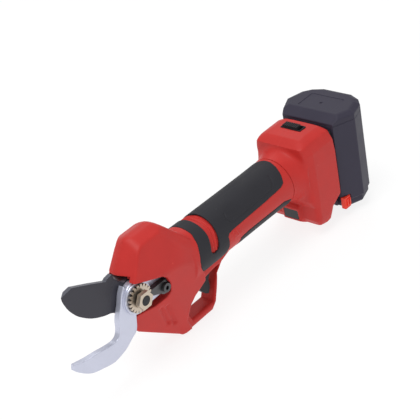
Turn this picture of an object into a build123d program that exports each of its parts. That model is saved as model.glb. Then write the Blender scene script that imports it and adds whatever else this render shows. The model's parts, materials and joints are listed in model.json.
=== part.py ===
from build123d import *
import math
import os

# Battery electric pruner, in millimetres.
# The shapes are drawn with the blade pivot's axis through the origin, on the tool's mid-plane.  +Z is
# up, the jaws point along -Y, and +X is the tool's left side, where the lock nut is.  FRAME_SHIFT then
# moves every solid, so that the files' origin is the centre of the bounding box's bottom face.

# ---------------------------------------------------------------- driving dimensions
FRAME_SHIFT = (0.0, -104.5, 67.0)
PIVOT_R = 4.0                # M8 pivot bolt
RUN = 0.05                   # radial clearance of a running fit
BLADE_X = (3.5, 7.5)         # right and left faces of the cutting blade
BEVEL_GRIND = 3.2            # width of the ground bevel on the blade's right face
HOOK_X = (7.55, 12.5)        # right and left faces of the fixed hook
NUT_FLANGE_X = (15.0, 17.0)
NUT_HEX_X = (19.0, 22.5)
NUT_HEX_AF = 13.0
NUT_RING_R = 11.3
NUT_TEETH = 20
LOCK_SCREW = (24.5, -6.0)    # y, z of the lock screw
SECTOR_SCREW_R = 1.5
SECTOR_SCREW_ORBIT = 9.0
MAGNET_ORBIT = 16.5
MAGNET_R = 1.5

DRIVE_TILT = -4.2            # drive axis about X, downwards to the rear
BEVEL_PITCH_R = (5.125, 20.5)    # pinion and sector
BEVEL_TEETH = 9              # on the pinion; the sector is cut from a gear of 36
BEVEL_TOOTH = [(-0.31, -1.25), (-0.12, 0.78), (0.12, 0.78), (0.31, -1.25)]  # (across, height) in modules
BEVEL_INNER = 0.716          # inner end of the bevel teeth, as a share of the cone distance
MODULE = 0.6                 # planetary gear module
SUN_TEETH = 12
PLANET_TEETH = 15
RING_TEETH = 42
PLANET_COUNT = 3
GEARBOX_R = 15.4
STAGE_2_Y = (42.5, 49.0)     # planets of the output stage, along the drive axis
STAGE_1_Y = (54.5, 61.0)     # planets of the motor stage
OUTPUT_CARRIER_Y = (38.5, 42.0)
FIRST_CARRIER_Y = (51.0, 54.0)
PLANET_PIN_R = 1.5
BEARING_Y = (27.0, 33.0)
BEARING_R = (3.0, 7.0)
ROTOR_SHAFT_R = 1.6
MOTOR_Y = (66.0, 112.0)
MOTOR_R = 15.6
CAVITY_R = 16.2

GRIP_R = 21.0                # outer radius over the pads
GRIP_Z = -5.3                # grip axis height at y = 0
GRIP_SLOPE = -0.0165
SEAM_Y = 178.0               # joint between the grip housing and the rear housing
PAD_DEPTH = 1.4
PAD_PROUD = 0.15

REAR_X = 28.3                # half-width of the rear box behind its front corner
WALL = 2.5

# the pack's outline from above: (half-width, y)
PACK_PLAN = [(25.8, 231.6), (34.5, 251.0), (30.0, 266.5), (24.0, 273.0), (14.0, 277.5)]
PACK_Z = (-61.5, 20.0)
PACK_FLOOR_Z = -52.0         # inner floor over the slot for the shoe's tongue
PACK_CAP = 7.4
PACK_PANEL_Y = 253.0         # middle of the shallow panel in the cap
PACK_WALL = 1.5
CELL_R = 9.2
CELL_LENGTH = 65.0
CELL_Z = -47.0
CELL_ROWS = ((244.5, (-9.3, 9.3)), (260.4, (-18.6, 0.0, 18.6)))

TRIGGER_PIN = (62.0, -29.0)
BOARD_Z = (-9.2, -7.6)       # control board
SWITCH_Y = 213.0
SWITCH_Z = 25.7
RAIL_WEB = (19.5, 21.5)
RAIL_FLANGE = (17.5, 23.5)
RAIL_Z = (-41.0, 10.0)
TERMINAL_X = (-8.0, 0.0, 8.0)
SHOE_SCREW_SITES = [(x, z) for x in (-10.0, 10.0) for z in (-34.0, 8.0)]
PACK_SCREW_SITES = [(-24.5, 248.0), (24.5, 248.0)]
PACK_SCREW_SEAT_Z = 10.0     # the screws enter from below, up long wells
PACK_SCREW_BOSS_Z = 12.0     # the case's columns end here and meet the cap's bosses
PACK_SCREW_R = 1.3
BUTTON_X = (24.2, 29.0)      # outside the rails, so that the pack slides past the shoe
BUTTON_Y = (231.2, 239.2)
BUTTON_Z = (-59.4, -48.8)

SCREW_SITES = [(11.0, 31.0), (35.0, 30.0), (4.0, -27.0), (39.0, -57.5), (98.0, -28.5)]
REAR_SCREW_SITES = [(209.0, -50.0), (222.0, 14.0)]

GRIP_ANGLE = math.degrees(math.atan(GRIP_SLOPE))
CONE_PINION = math.atan(BEVEL_PITCH_R[0] / BEVEL_PITCH_R[1])
CONE_DISTANCE = math.hypot(*BEVEL_PITCH_R)
BEVEL_MODULE = 2 * BEVEL_PITCH_R[0] / BEVEL_TEETH
PLANET_ORBIT = MODULE * (SUN_TEETH + PLANET_TEETH) / 2
WINDOW_X = 7.4               # half-width of the charge display's window
WINDOW_Z = (-53.3, -44.2)
WINDOW_Y = (193.6, 195.4)
os.makedirs("parts", exist_ok=True)


# ---------------------------------------------------------------- helpers
def slab(outline, x_low, x_high):
    """A prism along X over an outline of (y, z) points."""
    face = make_face(Polyline(*[(x_low, y, z) for y, z in outline], close=True))
    return extrude(face, amount=x_high - x_low, dir=(1, 0, 0))


def inset_polygon(outline, inset):
    """A polygon moved inwards by inset on every side."""
    face = make_face(Polyline(*outline, close=True))
    return offset(face, amount=-inset, kind=Kind.INTERSECTION) if inset else face


def slab_of(sketch, x_low, x_high):
    """A prism along X over a sketch drawn in (y, z)."""
    return Pos(x_low, 0, 0) * extrude(Plane.YZ * sketch, amount=x_high - x_low, dir=(1, 0, 0))


def prism_y(outline, y_low, y_high):
    """A prism along Y over an outline of (x, z) points."""
    face = make_face(Polyline(*[(x, y_low, z) for x, z in outline], close=True))
    return extrude(face, amount=y_high - y_low, dir=(0, 1, 0))


def prism_z(outline, z_low, z_high):
    """A prism along Z over an outline of (x, y) points."""
    face = make_face(Polyline(*[(x, y, z_low) for x, y in outline], close=True))
    return extrude(face, amount=z_high - z_low, dir=(0, 0, 1))


def rod_x(y, z, radius, x_low, x_high):
    """A cylinder along X."""
    return slab_of(Pos(y, z) * Circle(radius), x_low, x_high)


def rod_y(radius, y_low, y_high, x=0.0, z=0.0):
    """A cylinder along Y."""
    base = Cylinder(radius, y_high - y_low, align=(Align.CENTER, Align.CENTER, Align.MIN))
    return Pos(x, y_low, z) * Rot(-90, 0, 0) * base


def rod_z(radius, z_low, z_high, x=0.0, y=0.0):
    """A cylinder along Z."""
    return Pos(x, y, z_low) * Cylinder(radius, z_high - z_low, align=(Align.CENTER, Align.CENTER, Align.MIN))


def block(x_span, y_span, z_span):
    """A box between limits."""
    size = [high - low for low, high in (x_span, y_span, z_span)]
    corner = Pos(x_span[0], y_span[0], z_span[0])
    return corner * Box(*size, align=(Align.MIN, Align.MIN, Align.MIN))


def tilted(shape):
    """Puts a shape built along the Y axis onto the drive axis."""
    return Rot(DRIVE_TILT, 0, 0) * shape


def mirrored(half):
    """A closed outline from its +X half, listed from top to bottom."""
    return half + [(-x, v) for x, v in reversed(half) if x > 0]


def polar(radius, degrees):
    return (radius * math.cos(math.radians(degrees)), radius * math.sin(math.radians(degrees)))


def grip_centre(y):
    return GRIP_Z + GRIP_SLOPE * y


# ---------------------------------------------------------------- toothed shapes
def gear_sketch(teeth, sign=1, phase=0.0):
    """A spur gear's outline, centred on the origin, or with sign -1 the bore of a ring gear."""
    pitch_r = MODULE * teeth / 2
    root_r = pitch_r - sign * 1.0 * MODULE
    tip_r = pitch_r + sign * 0.8 * MODULE
    step = 360 / teeth
    points = []
    for k in range(teeth):
        middle = phase + k * step
        for radius, offset in ((root_r, -0.30), (tip_r, -0.13), (tip_r, 0.13), (root_r, 0.30)):
            points.append(polar(radius, middle + offset * step))
    return make_face(Polyline(*points, close=True))


def gear_y(teeth, y_low, y_high, phase=0.0, bore=0.0):
    """A spur gear along Y, with a tooth towards +X when phase is 0."""
    face = gear_sketch(teeth, 1, phase)
    if bore:
        face = face - Circle(bore)
    return Pos(0, y_low, 0) * Rot(-90, 0, 0) * extrude(face, amount=y_high - y_low, dir=(0, 0, 1))


def bevel_tooth(along, height, across):
    """One straight bevel tooth on the pitch line along, standing towards height."""
    ends = []
    for scale in (1.0, BEVEL_INNER):
        corners = []
        for side, rise in BEVEL_TOOTH:
            spot = along * CONE_DISTANCE + height * (rise * BEVEL_MODULE)
            spot = spot + across * (side * math.pi * BEVEL_MODULE)
            corners.append(spot * scale)
        ends.append(make_face(Polyline(*corners, close=True)))
    return loft(ends, ruled=True)


# ---------------------------------------------------------------- jaws and pivot
def cutting_blade():
    back = [(-59.2, 37.3), (-48.3, 38.7), (-33.0, 31.4), (-19.0, 24.3), (-17.4, 25.4), (-12.2, 26.2)]
    hub_top = (-11.2, 21.6)
    edge = [(-21.0, -2.1), (-29.2, 0.4), (-39.7, 5.9), (-48.8, 13.8), (-56.4, 25.3), (-59.2, 37.3)]
    neck = [hub_top, (-4.0, 13.4), (-4.0, -13.4), (-15.0, -6.0), (-21.0, -2.1)]
    outline = Polyline(*back) + Line(back[-1], hub_top) + Polyline(*neck) + Spline(*edge)
    blade = slab_of(make_face(outline), *BLADE_X)
    ground = [e for e in blade.edges().filter_by(GeomType.BSPLINE) if e.center().X < BLADE_X[0] + 0.1]
    blade = chamfer(ground, BEVEL_GRIND)
    blade += rod_x(0, 0, 14.0, *BLADE_X)
    blade -= rod_x(0, 0, PIVOT_R + RUN, 0, 10)
    for spot in sector_screw_sites():
        blade -= rod_x(*spot, SECTOR_SCREW_R, 0, 10)
    return blade


def sector_screw_sites():
    return [polar(SECTOR_SCREW_ORBIT, angle) for angle in (-150, -30, 90)]


def magnet_spot():
    return polar(MAGNET_ORBIT, -50)


def sector_gear():
    inner = CONE_DISTANCE * BEVEL_INNER
    rim = []
    for distance in (inner - 0.4, CONE_DISTANCE + 0.4):
        rise = -1.25 * BEVEL_MODULE * distance / CONE_DISTANCE
        x = -distance * math.sin(CONE_PINION) + rise * math.cos(CONE_PINION)
        r = distance * math.cos(CONE_PINION) + rise * math.sin(CONE_PINION)
        rim.append((x, r))
    profile = [(-9.9, 3), (-9.9, rim[1][1]), (rim[1][0], rim[1][1]), (rim[0][0], rim[0][1]), (-5.5, 12.0)]
    profile += [(-5.5, 3)]
    blank = revolve(make_face(Polyline(*profile, close=True)), Axis.X, 360)
    wedge = slab([(0, 0), polar(40, -61), polar(40, -30), polar(40, 0), polar(40, 20)], -12, 0)
    gear = blank & wedge
    along_angle = math.pi / 2 - CONE_PINION
    for k in range(-6, 2):
        angle = math.radians(5 + 10 * k)
        out = Vector(0, math.cos(angle), math.sin(angle))
        side = Vector(0, -math.sin(angle), math.cos(angle))
        along = Vector(-math.cos(along_angle), 0, 0) + out * math.sin(along_angle)
        height = Vector(math.sin(along_angle), 0, 0) + out * math.cos(along_angle)
        gear += bevel_tooth(along, height, side)
    gear = tilted(gear)
    gear += rod_x(0, 0, 12.4, -9.9, BLADE_X[0])
    gear -= rod_x(0, 0, PIVOT_R + RUN, -12, 10)
    gear -= rod_x(*magnet_spot(), MAGNET_R, -12, -8.4)
    for spot in sector_screw_sites():
        gear -= rod_x(*spot, SECTOR_SCREW_R, -4, 10)
    return gear


def sector_screws():
    return [rod_x(*spot, SECTOR_SCREW_R, -4, BLADE_X[1] - 0.2) for spot in sector_screw_sites()]


def position_magnet():
    return rod_x(*magnet_spot(), MAGNET_R, -9.9, -8.4)


def fixed_hook():
    edge = [(-4.3, -15.9), (-6.8, -25.5), (-20.9, -33.9), (-35.5, -36.2), (-57.4, -29.0), (-68.5, -18.5)]
    inner = [(-67.2, -14.4), (-45.6, -18.9), (-29.5, -21.6), (-22.4, -15.5), (-18.8, -3.2), (-12.7, 9.7)]
    outline = Polyline((0, 0), edge[0]) + Spline(*edge) + Line(edge[-1], inner[0]) + Spline(*inner)
    outline += Polyline(inner[-1], (-9.0, 14.9), (0, 0))
    hook = slab_of(make_face(outline), *HOOK_X)
    hook += rod_x(0, 0, 13.2, *HOOK_X)
    arm = [(0, -13.2), (22.5, -13.2), (22.5, 1.6), (0, 13.0)]
    hook += slab(arm, *HOOK_X)
    hook += rod_x(*LOCK_SCREW, 7.4, *HOOK_X)
    boss = rod_x(0, 0, 13.0, HOOK_X[1], NUT_FLANGE_X[0])
    rim = boss.edges().filter_by(GeomType.CIRCLE).sort_by(Axis.X)[-1]
    hook += chamfer(rim, 0.8)
    hook -= rod_x(0, 0, PIVOT_R, 0, 20)
    hook -= rod_x(*LOCK_SCREW, 2.0, 0, 20)
    return hook


def pivot_bolt():
    bolt = rod_x(0, 0, PIVOT_R, -12.4, NUT_HEX_X[1] + 0.3)
    tip = bolt.edges().filter_by(GeomType.CIRCLE).sort_by(Axis.X)[-1]
    bolt = chamfer(tip, 0.6)
    head = rod_x(0, 0, 5.6, -14.9, -12.4)
    head -= slab_of(RegularPolygon(2.6, 6), -14.9, -13.3)
    return bolt + head


def pivot_washer():
    return rod_x(0, 0, 6.5, -12.4, -11.8) - rod_x(0, 0, PIVOT_R, -13, -11)


def lock_nut():
    step = 360 / NUT_TEETH
    points = []
    for k in range(NUT_TEETH):
        for radius, offset in ((8.9, -0.5), (NUT_RING_R, -0.22), (NUT_RING_R, 0.22), (8.9, 0.5)):
            if offset < 0.5:
                points.append(polar(radius, (k + offset) * step))
    ring = slab_of(make_face(Polyline(*points, close=True)), *NUT_FLANGE_X)
    cone = loft([
        Pos(NUT_FLANGE_X[1], 0, 0) * Plane.YZ * Circle(8.6),
        Pos(NUT_HEX_X[0], 0, 0) * Plane.YZ * Circle(6.6),
    ])
    head = slab_of(RegularPolygon(NUT_HEX_AF / 2, 6, major_radius=False), *NUT_HEX_X)
    nut = ring + cone + head
    return nut - rod_x(0, 0, PIVOT_R, 10, 30)


def lock_plate():
    y, z = LOCK_SCREW
    away = math.degrees(math.atan2(z, y))
    reach = NUT_RING_R + 0.35
    near = [polar(reach + 0.1, away + turn) for turn in (-12, 12)]
    sides = [near[1], (y + 1.5, z + 5.6), (y + 1.5, z - 5.6), near[0]]
    plate = slab(sides, HOOK_X[1], NUT_FLANGE_X[1])
    plate += rod_x(y, z, 5.6, HOOK_X[1], NUT_FLANGE_X[1])
    plate -= rod_x(0, 0, reach + 0.05, 0, 30)
    plate -= rod_x(0, 0, 13.3, HOOK_X[1] - 1, NUT_FLANGE_X[0])
    step = 360 / NUT_TEETH
    gap = (round(away / step - 0.5) + 0.5) * step
    corners = ((reach + 1.0, -4), (9.6, -1), (9.6, 1), (reach + 1.0, 4))
    tooth = [polar(radius, gap + turn) for radius, turn in corners]
    plate += slab(tooth, NUT_FLANGE_X[0], NUT_FLANGE_X[1])
    return plate - rod_x(y, z, 2.0, 0, 30)


def lock_screw():
    y, z = LOCK_SCREW
    top = NUT_FLANGE_X[1]
    screw = rod_x(y, z, 2.0, 3.6, top) + rod_x(y, z, 3.6, top, top + 2.8)
    return screw - slab_of(Pos(y, z) * RegularPolygon(1.75, 6), top + 1.0, top + 3)


# ---------------------------------------------------------------- frame and drive train
def front_frame():
    outline = [(-10.5, 3), (-6, 7), (10, 8.5), (34, 9.5), (34, -12), (8, -12), (-6, -10.5), (-10.5, -6)]
    plate = slab(outline, -14.2, -10.0)
    plate -= rod_x(0, 0, PIVOT_R, -20, 0) + rod_x(0, 0, 6.6, -20, -11.8)
    ring = tilted(rod_y(GEARBOX_R, 27.0, 36.0))
    lug = [(23.4, 8.2), (30, 8.2), (30, -12.5), (21.0, -12.5), (21.0, -9.5), (23.4, -7.0)]
    frame = plate + ring + slab(lug, 3.4, BLADE_X[1])
    frame -= tilted(rod_y(BEARING_R[1], BEARING_Y[0] - 1, BEARING_Y[1]))
    frame -= tilted(rod_y(5.5, BEARING_Y[1] - 1, 40))
    frame -= rod_x(*LOCK_SCREW, 2.0, 3.3, 10)
    frame -= rod_x(*LOCK_SCREW, 7.8, BLADE_X[1], 20)
    return frame


def output_bearing():
    ring = rod_y(BEARING_R[1], *BEARING_Y) - rod_y(BEARING_R[0] + RUN, BEARING_Y[0] - 1, BEARING_Y[1] + 1)
    groove = Torus(5.0, 1.0)
    ring -= Pos(0, BEARING_Y[0] - 0.4, 0) * Rot(-90, 0, 0) * groove
    return tilted(ring)


def output_pinion():
    tip = CONE_DISTANCE * BEVEL_INNER
    ends = []
    for distance in (tip - 0.3, CONE_DISTANCE + 0.3):
        rise = -1.2 * BEVEL_MODULE * distance / CONE_DISTANCE
        radius = distance * math.sin(CONE_PINION) + rise * math.cos(CONE_PINION)
        y = distance * math.cos(CONE_PINION) - rise * math.sin(CONE_PINION)
        ends.append((radius, y))
    cone = [(0, ends[0][1]), ends[0], ends[1], (ends[1][0], 22.6), (BEARING_R[0], 22.6)]
    cone += [(BEARING_R[0], OUTPUT_CARRIER_Y[0]), (0, OUTPUT_CARRIER_Y[0])]
    pinion = revolve(make_face(Polyline(*cone, close=True)), Axis.Y, 360)
    for k in range(BEVEL_TEETH):
        angle = math.radians(360 / BEVEL_TEETH * k)
        out = Vector(-math.cos(angle), 0, math.sin(angle))
        side = Vector(math.sin(angle), 0, math.cos(angle))
        along = out * math.sin(CONE_PINION) + Vector(0, math.cos(CONE_PINION), 0)
        height = out * math.cos(CONE_PINION) - Vector(0, math.sin(CONE_PINION), 0)
        pinion += bevel_tooth(along, height, side)
    return tilted(pinion)


def planet_angles():
    return [360 / PLANET_COUNT * k for k in range(PLANET_COUNT)]


def planet_spot(degrees):
    x, z = polar(PLANET_ORBIT, degrees)
    return x, -z


def carrier(disc_y, pins_end):
    shape = rod_y(11.4, *disc_y)
    for angle in planet_angles():
        x, z = planet_spot(angle)
        shape += rod_y(PLANET_PIN_R, disc_y[1] - 1, pins_end, x, z)
    return shape


def output_carrier():
    return tilted(carrier(OUTPUT_CARRIER_Y, STAGE_2_Y[1] + 0.8))


def first_carrier():
    shape = carrier(FIRST_CARRIER_Y, STAGE_1_Y[1] + 0.8)
    shape += gear_y(SUN_TEETH, STAGE_2_Y[0], FIRST_CARRIER_Y[0] + 0.5)
    return tilted(shape)


def planet(degrees, span):
    """A planet gear on its pin, in mesh with the sun and the ring."""
    x, z = planet_spot(degrees)
    gear = gear_y(PLANET_TEETH, *span, phase=degrees, bore=PLANET_PIN_R + RUN)
    return tilted(Pos(x, 0, z) * gear)


def gearbox_case():
    case = rod_y(GEARBOX_R, 36.0, MOTOR_Y[0])
    half_step = 180 / RING_TEETH
    # Ring teeth stand inwards: the bore's outline is the gap between them.
    gap = gear_sketch(RING_TEETH, -1, half_step)
    bore = Rot(-90, 0, 0) * extrude(gap, amount=MOTOR_Y[0] + 4 - 36, dir=(0, 0, 1))
    return tilted(case - Pos(0, 34, 0) * bore)


def motor_case():
    case = rod_y(MOTOR_R, *MOTOR_Y)
    case -= rod_y(MOTOR_R - 1.5, MOTOR_Y[0] + 2.5, MOTOR_Y[1] + 1)
    case -= rod_y(5.0, MOTOR_Y[0] - 1, MOTOR_Y[0] + 4)
    return tilted(case)


def motor_stator():
    stator = rod_y(MOTOR_R - 1.5, MOTOR_Y[0] + 6, MOTOR_Y[1] - 8) - rod_y(9.4, 0, 200)
    for k in range(6):
        slot = rod_y(1.5, MOTOR_Y[0] + 5, MOTOR_Y[1] - 7, 0, 11.2)
        slot += block((-0.5, 0.5), (MOTOR_Y[0] + 5, MOTOR_Y[1] - 7), (8.5, 11.2))
        stator -= Rot(0, 60 * k, 0) * slot
    return tilted(stator)


def motor_end_cap():
    cap = rod_y(MOTOR_R, MOTOR_Y[1], MOTOR_Y[1] + 4) + rod_y(5.0, MOTOR_Y[1] - 3, MOTOR_Y[1] + 4)
    return tilted(cap - rod_y(ROTOR_SHAFT_R + RUN, MOTOR_Y[1] - 5, MOTOR_Y[1] + 5))


def rotor_shaft():
    shaft = rod_y(ROTOR_SHAFT_R, STAGE_1_Y[1], MOTOR_Y[1] + 3.5)
    return tilted(shaft + gear_y(SUN_TEETH, STAGE_1_Y[0], STAGE_1_Y[1] + 1.5))


def rotor_core():
    core = rod_y(9.0, MOTOR_Y[0] + 5, MOTOR_Y[1] - 7)
    return tilted(core - rod_y(ROTOR_SHAFT_R, 0, 200))


def motor_leads():
    leads = []
    for x in (-6.0, 0.0, 6.0):
        path = Spline((x, 116.6, -14.0), (x, 120.0, -17.0), (x * 0.8, 127.5, BOARD_Z[0] - 1.2),
                      tangents=[(0, 1, -0.4), (0, 1, 0)])
        leads.append(sweep(Plane(path @ 0, z_dir=path % 0) * Circle(1.0), path=path))
    return leads


# ---------------------------------------------------------------- electronics in the grip
def control_board():
    board = block((-12.0, 12.0), (124.0, 170.0), BOARD_Z)
    for k in range(6):
        x = -8.5 + 8.5 * (k % 3)
        y = 129.0 + 8.0 * (k // 3)
        board += block((x - 2.6, x + 2.6), (y - 3.0, y + 3.0), (BOARD_Z[1], BOARD_Z[1] + 1.6))
    for x in (-5.5, 5.5):
        board += Pos(x, 152.0, BOARD_Z[1] + 4.5) * Cylinder(4.0, 9.0)
    return board


def battery_leads():
    leads = []
    for x in (-6.0, 6.0):
        path = Spline((x, 170.4, -9.0), (x, 185.0, -12.0), (x, 206.0, -22.0), (x, 225.3, -24.0),
                      tangents=[(0, 1, 0), (0, 1, 0)])
        leads.append(sweep(Plane(path @ 0, z_dir=path % 0) * Circle(1.3), path=path))
    return leads


def position_sensor():
    return block((-11.6, -10.6), (8.5, 14.5), (-19.0, -12.8))


# ---------------------------------------------------------------- outer shapes of the shells
# Outward facets of the head as (nx, ny, nz, distance on the left side, distance on the right side).
HEAD_FACETS = [
    (0.2616, -0.7565, 0.5994, 15.86, 15.86),    # nose slope
    (0.4750, 0.0, 0.8800, 37.84, 36.10),        # crowned top
    (0.1650, 0.7270, 0.6661, 55.70, 54.60),     # slope from the top down to the grip
    (0.9637, -0.0867, 0.2527, 21.33, 21.33),    # cheek over the pocket
    (0.9587, 0.0179, 0.2843, 23.58, 23.58),     # upper side
    (0.7830, 0.4065, 0.4707, 41.40, 41.40),     # shoulder towards the grip
    (0.9670, 0.1490, 0.2080, 28.50, 28.50),     # side towards the grip
    (0.9815, -0.0457, -0.1860, 18.94, 18.94),   # lower side
    (0.9490, -0.2018, -0.2417, 14.77, 19.30),   # lower front, flush over the frame plate on the right
    (0.7990, -0.4815, 0.3603, 60.0, 13.89),     # the nose's corner, cut away on the right only
]
HEAD_SIDE = [(-5.2, 42.0), (-5.2, 18.8), (-3.4, 14.0), (-3.4, -30.0), (-0.5, -34.5), (39.5, -65.5)]
HEAD_SIDE += [(48.5, -65.5), (46.3, -59.0), (44.6, -53.5), (46.4, -47.8), (49.0, -41.2), (54.4, -35.3)]
HEAD_SIDE += [(61.0, -31.5), (66.0, -28.0), (66.0, 42.0)]


def half_space(nx, ny, nz, distance):
    """A large block on the outer side of a plane."""
    plane = Plane(origin=(nx * distance, ny * distance, nz * distance), z_dir=(nx, ny, nz))
    return plane * Box(400, 400, 200, align=(Align.CENTER, Align.CENTER, Align.MIN))


def head_outer():
    head = slab(HEAD_SIDE, -30, 30)
    for nx, ny, nz, left, right in HEAD_FACETS:
        head -= half_space(nx, ny, nz, left)
        head -= half_space(-nx, ny, nz, right)
    return head


def guard_outer():
    outline = [(36, -50), (39.5, -64.5), (43, -67), (76, -67), (81.5, -62), (85.5, -52), (89.5, -40)]
    outline += [(96, -33), (107, -29.5), (107, -20), (60, -20), (40, -30)]
    hole = [(93, -33.5), (87, -33.5), (79, -34.5), (70, -36), (64, -38), (59, -41.5), (53.5, -47.5)]
    hole += [(51, -51), (50.8, -56.0), (53, -60.2), (78.5, -60.5), (80.5, -56), (84.0, -47.5), (88.5, -39.5)]
    return slab(outline, -7.6, 7.6) - slab(hole, -20, 20)


def turned_about_grip(stations, offset, y_low, y_high):
    """A solid of revolution about the grip's axis, through (y, radius) stations moved out by offset."""
    curve = Spline(*[(radius + offset, y, 0) for y, radius in stations])
    first, last = curve @ 0, curve @ 1
    ends = Polyline(last, (0, last.Y, 0), (0, first.Y, 0), first)
    turned = revolve(make_face(curve + ends), Axis.Y, 360)
    placed = Pos(0, 0, GRIP_Z) * Rot(GRIP_ANGLE, 0, 0) * turned
    return placed & block((-60, 60), (y_low, y_high), (-90, 60))


def grip_turned(offset, y_low, y_high):
    """The grip's round surface, moved out by offset."""
    stations = [(50.0, 21.9), (72.0, 21.1), (95.0, GRIP_R), (135.0, GRIP_R - 0.2), (162.0, GRIP_R)]
    return turned_about_grip(stations + [(SEAM_Y + 4, GRIP_R + 0.9)], offset, y_low, y_high)


def collar_outer():
    """The flare from the grip's end to the rear box."""
    stations = [(SEAM_Y - 6, GRIP_R + 0.3), (SEAM_Y, GRIP_R + 0.6)]
    stations += [(184.0, 22.5), (189.0, 24.1), (192.5, 26.0)]
    return turned_about_grip(stations, 0.0, SEAM_Y, 191.5)


def rear_box(inset):
    side = [(193.0, -32.0), (196.0, -39.0), (196.0, -52.0), (199.0, -57.5), (208.0, -60.5), (214.0, -59.0)]
    side += [(217.5, -48.5), (229.5, -41.5), (229.5, 19.5), (224.0, 24.5), (207.0, 26.0), (198.0, 24.0)]
    side += [(190.5, 19.0), (191.5, 6.0)]
    plan = [(0, 186.0), (20.0, 187.5), (24.5, 191.0), (REAR_X, 200.0), (29.5, 229.5)]
    front = [(10.0, 26.0), (17.0, 24.6), (24.0, 20.4), (28.5, 12.0), (30.0, 0.0), (30.0, -34.0)]
    front += [(29.0, -50.0), (27.0, -59.0), (20.0, -62.0)]
    shape = slab_of(inset_polygon(side, inset), -40, 40)
    shape &= Pos(0, 0, -80) * extrude(inset_polygon(mirrored(plan), inset), amount=140, dir=(0, 0, 1))
    facing = Plane(origin=(0, 180, 0), x_dir=(1, 0, 0), z_dir=(0, -1, 0))
    cross = facing * inset_polygon(mirrored(front), inset)
    return shape & extrude(cross, amount=60, dir=(0, 1, 0))


def grip_outline_solid():
    return head_outer() + guard_outer() + grip_turned(0.0, 56.0, SEAM_Y)


def mechanism_space():
    """The room inside the head for the jaws' hubs, the sector and the frame."""
    space = rod_x(0, 0, 18.9, -10.3, HOOK_X[0])
    sweep_room = [polar(24.5, angle) for angle in range(-100, 71, 10)]
    space += slab([(0, 0)] + sweep_room, -10.3, BLADE_X[1])
    space += slab([(0, 13.6), (36, 13.6), (36, -14.6), (0, -14.6)], -10.3, HOOK_X[0])
    space += slab([(-12, 10.4), (36, 10.4), (36, -12.6), (-12, -12.6)], -14.6, -10.2)
    return space + block((-12.0, -10.2), (8.0, 15.0), (-19.5, -11.5))


def mouth():
    """The front opening that the jaws come out of."""
    blade_side = [(-30, 18.8), (0, 18.8), (0, -30.6), (-30, -40)]
    hook_side = [(-30, 18.8), (0, 18.8), (0, -14), (-3.0, -16.5), (-4.0, -27.2), (-30, -46)]
    opening = slab(blade_side, BLADE_X[0] - 0.8, BLADE_X[1] + 0.02)
    swept = rod_x(0, 0, 31.5, BLADE_X[0] - 0.8, BLADE_X[1] + 0.02)
    opening += swept & block((0, 20), (-40, 3), (-40, 0))
    opening += slab(hook_side, BLADE_X[1] - 0.4, HOOK_X[1] + 0.5)
    opening += slab([(-30, 18.8), (-3.6, 18.8), (-3.6, -15), (-30, -15)], -14.6, HOOK_X[1] + 0.5)
    return opening + slab([(-30, 18.8), (-2.4, 18.8), (-2.4, -18.9), (-30, -18.9)], -10.3, HOOK_X[0])


def pocket():
    """The open pocket in the left side: a wide floor for the hook's tail under a closer rim."""
    rim = [(-30, 14.7), (-3.1, 14.7), (6.9, 11.3), (21.1, 6.7), (26.0, 2.4), (28.5, -4.2), (29.1, -10.3)]
    rim += [(27.9, -13.7), (24.2, -16.0), (14.9, -18.1), (-3.7, -16.6), (-30, -16.6)]
    opening = slab(rim, HOOK_X[0] - 0.05, 40)
    opening += rod_x(*LOCK_SCREW, 8.0, HOOK_X[0] - 0.05, 17.5)
    return opening + slab([(0, 14.2), (27, 4.0), (27, -6.0), (0, -6.0)], HOOK_X[0] - 0.05, 17.5)


def drive_space():
    return tilted(rod_y(CAVITY_R, 24.0, 119.0))


def board_space():
    return rod_y(16.6, 112.0, SEAM_Y + 1, 0, grip_centre(150.0))


def trigger_space():
    room = [(57.0, -18.0), (92.0, -18.0), (92.0, -36.0), (79.0, -38.0), (70.0, -39.5), (57.0, -44.0)]
    return slab(room, -4.6, 4.6)


def screw_clearance(side):
    cut = None
    for y, z in SCREW_SITES:
        if side < 0:
            hole = rod_x(y, z, 3.1, -40, -4.5) + rod_x(y, z, 1.5, -10, 1)
        else:
            hole = rod_x(y, z, 1.4, -1, 6.0)
        cut = hole if cut is None else cut + hole
    return cut


def inner_spaces():
    return [mechanism_space(), mouth(), drive_space(), board_space(), trigger_space()]


def grip_pad_outline():
    front = [(67.6, 30), (67.6, 14.0), (66.3, 9.7), (65.2, 5.9), (62.6, 1.0), (60.4, -6.0), (60.8, -12.5)]
    below = [(63.5, -18.0), (68.0, -21.5), (76.0, -23.6), (88.0, -24.0), (94.0, -21.0), (95.2, -14.0)]
    rear = [(95.2, -8.5), (96.8, -3.0), (100.6, -2.1), (115.0, -1.9), (140.0, -1.9), (164.0, -1.0)]
    back = [(168.8, 1.0), (171.3, 6.0), (173.7, 11.0), (175.2, 14.0), (175.4, 30)]
    return front + below + rear + back


def grip_gap_outline():
    front = [(78.4, 30), (78.4, 13.0), (78.3, 9.7), (77.6, 5.9), (76.0, 1.0), (74.6, -5.0), (75.6, -8.2)]
    rear = [(79.0, -9.0), (83.0, -6.5), (85.2, -1.3), (86.6, 4.6), (87.5, 10.0), (88.6, 14), (88.8, 30)]
    return front + rear


def pad_shell(outset):
    return grip_turned(outset, 56.0, SEAM_Y) - grip_turned(-PAD_DEPTH, 56.0, SEAM_Y)


def pad_recess():
    return slab(grip_pad_outline(), -40, 40) - block((-9.0, 9.0), (50, 180), (-40, -15))


def side_pads():
    return pad_shell(PAD_PROUD) & (pad_recess() - slab(grip_gap_outline(), -41, 41))


def under_pad_region():
    outline = [(109.5, -14.0), (119.0, -13.2), (166.0, -13.6), (175.6, -16.0), (175.6, -40)]
    return slab(outline + [(113.0, -40), (109.0, -20)], -40, 40)


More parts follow.
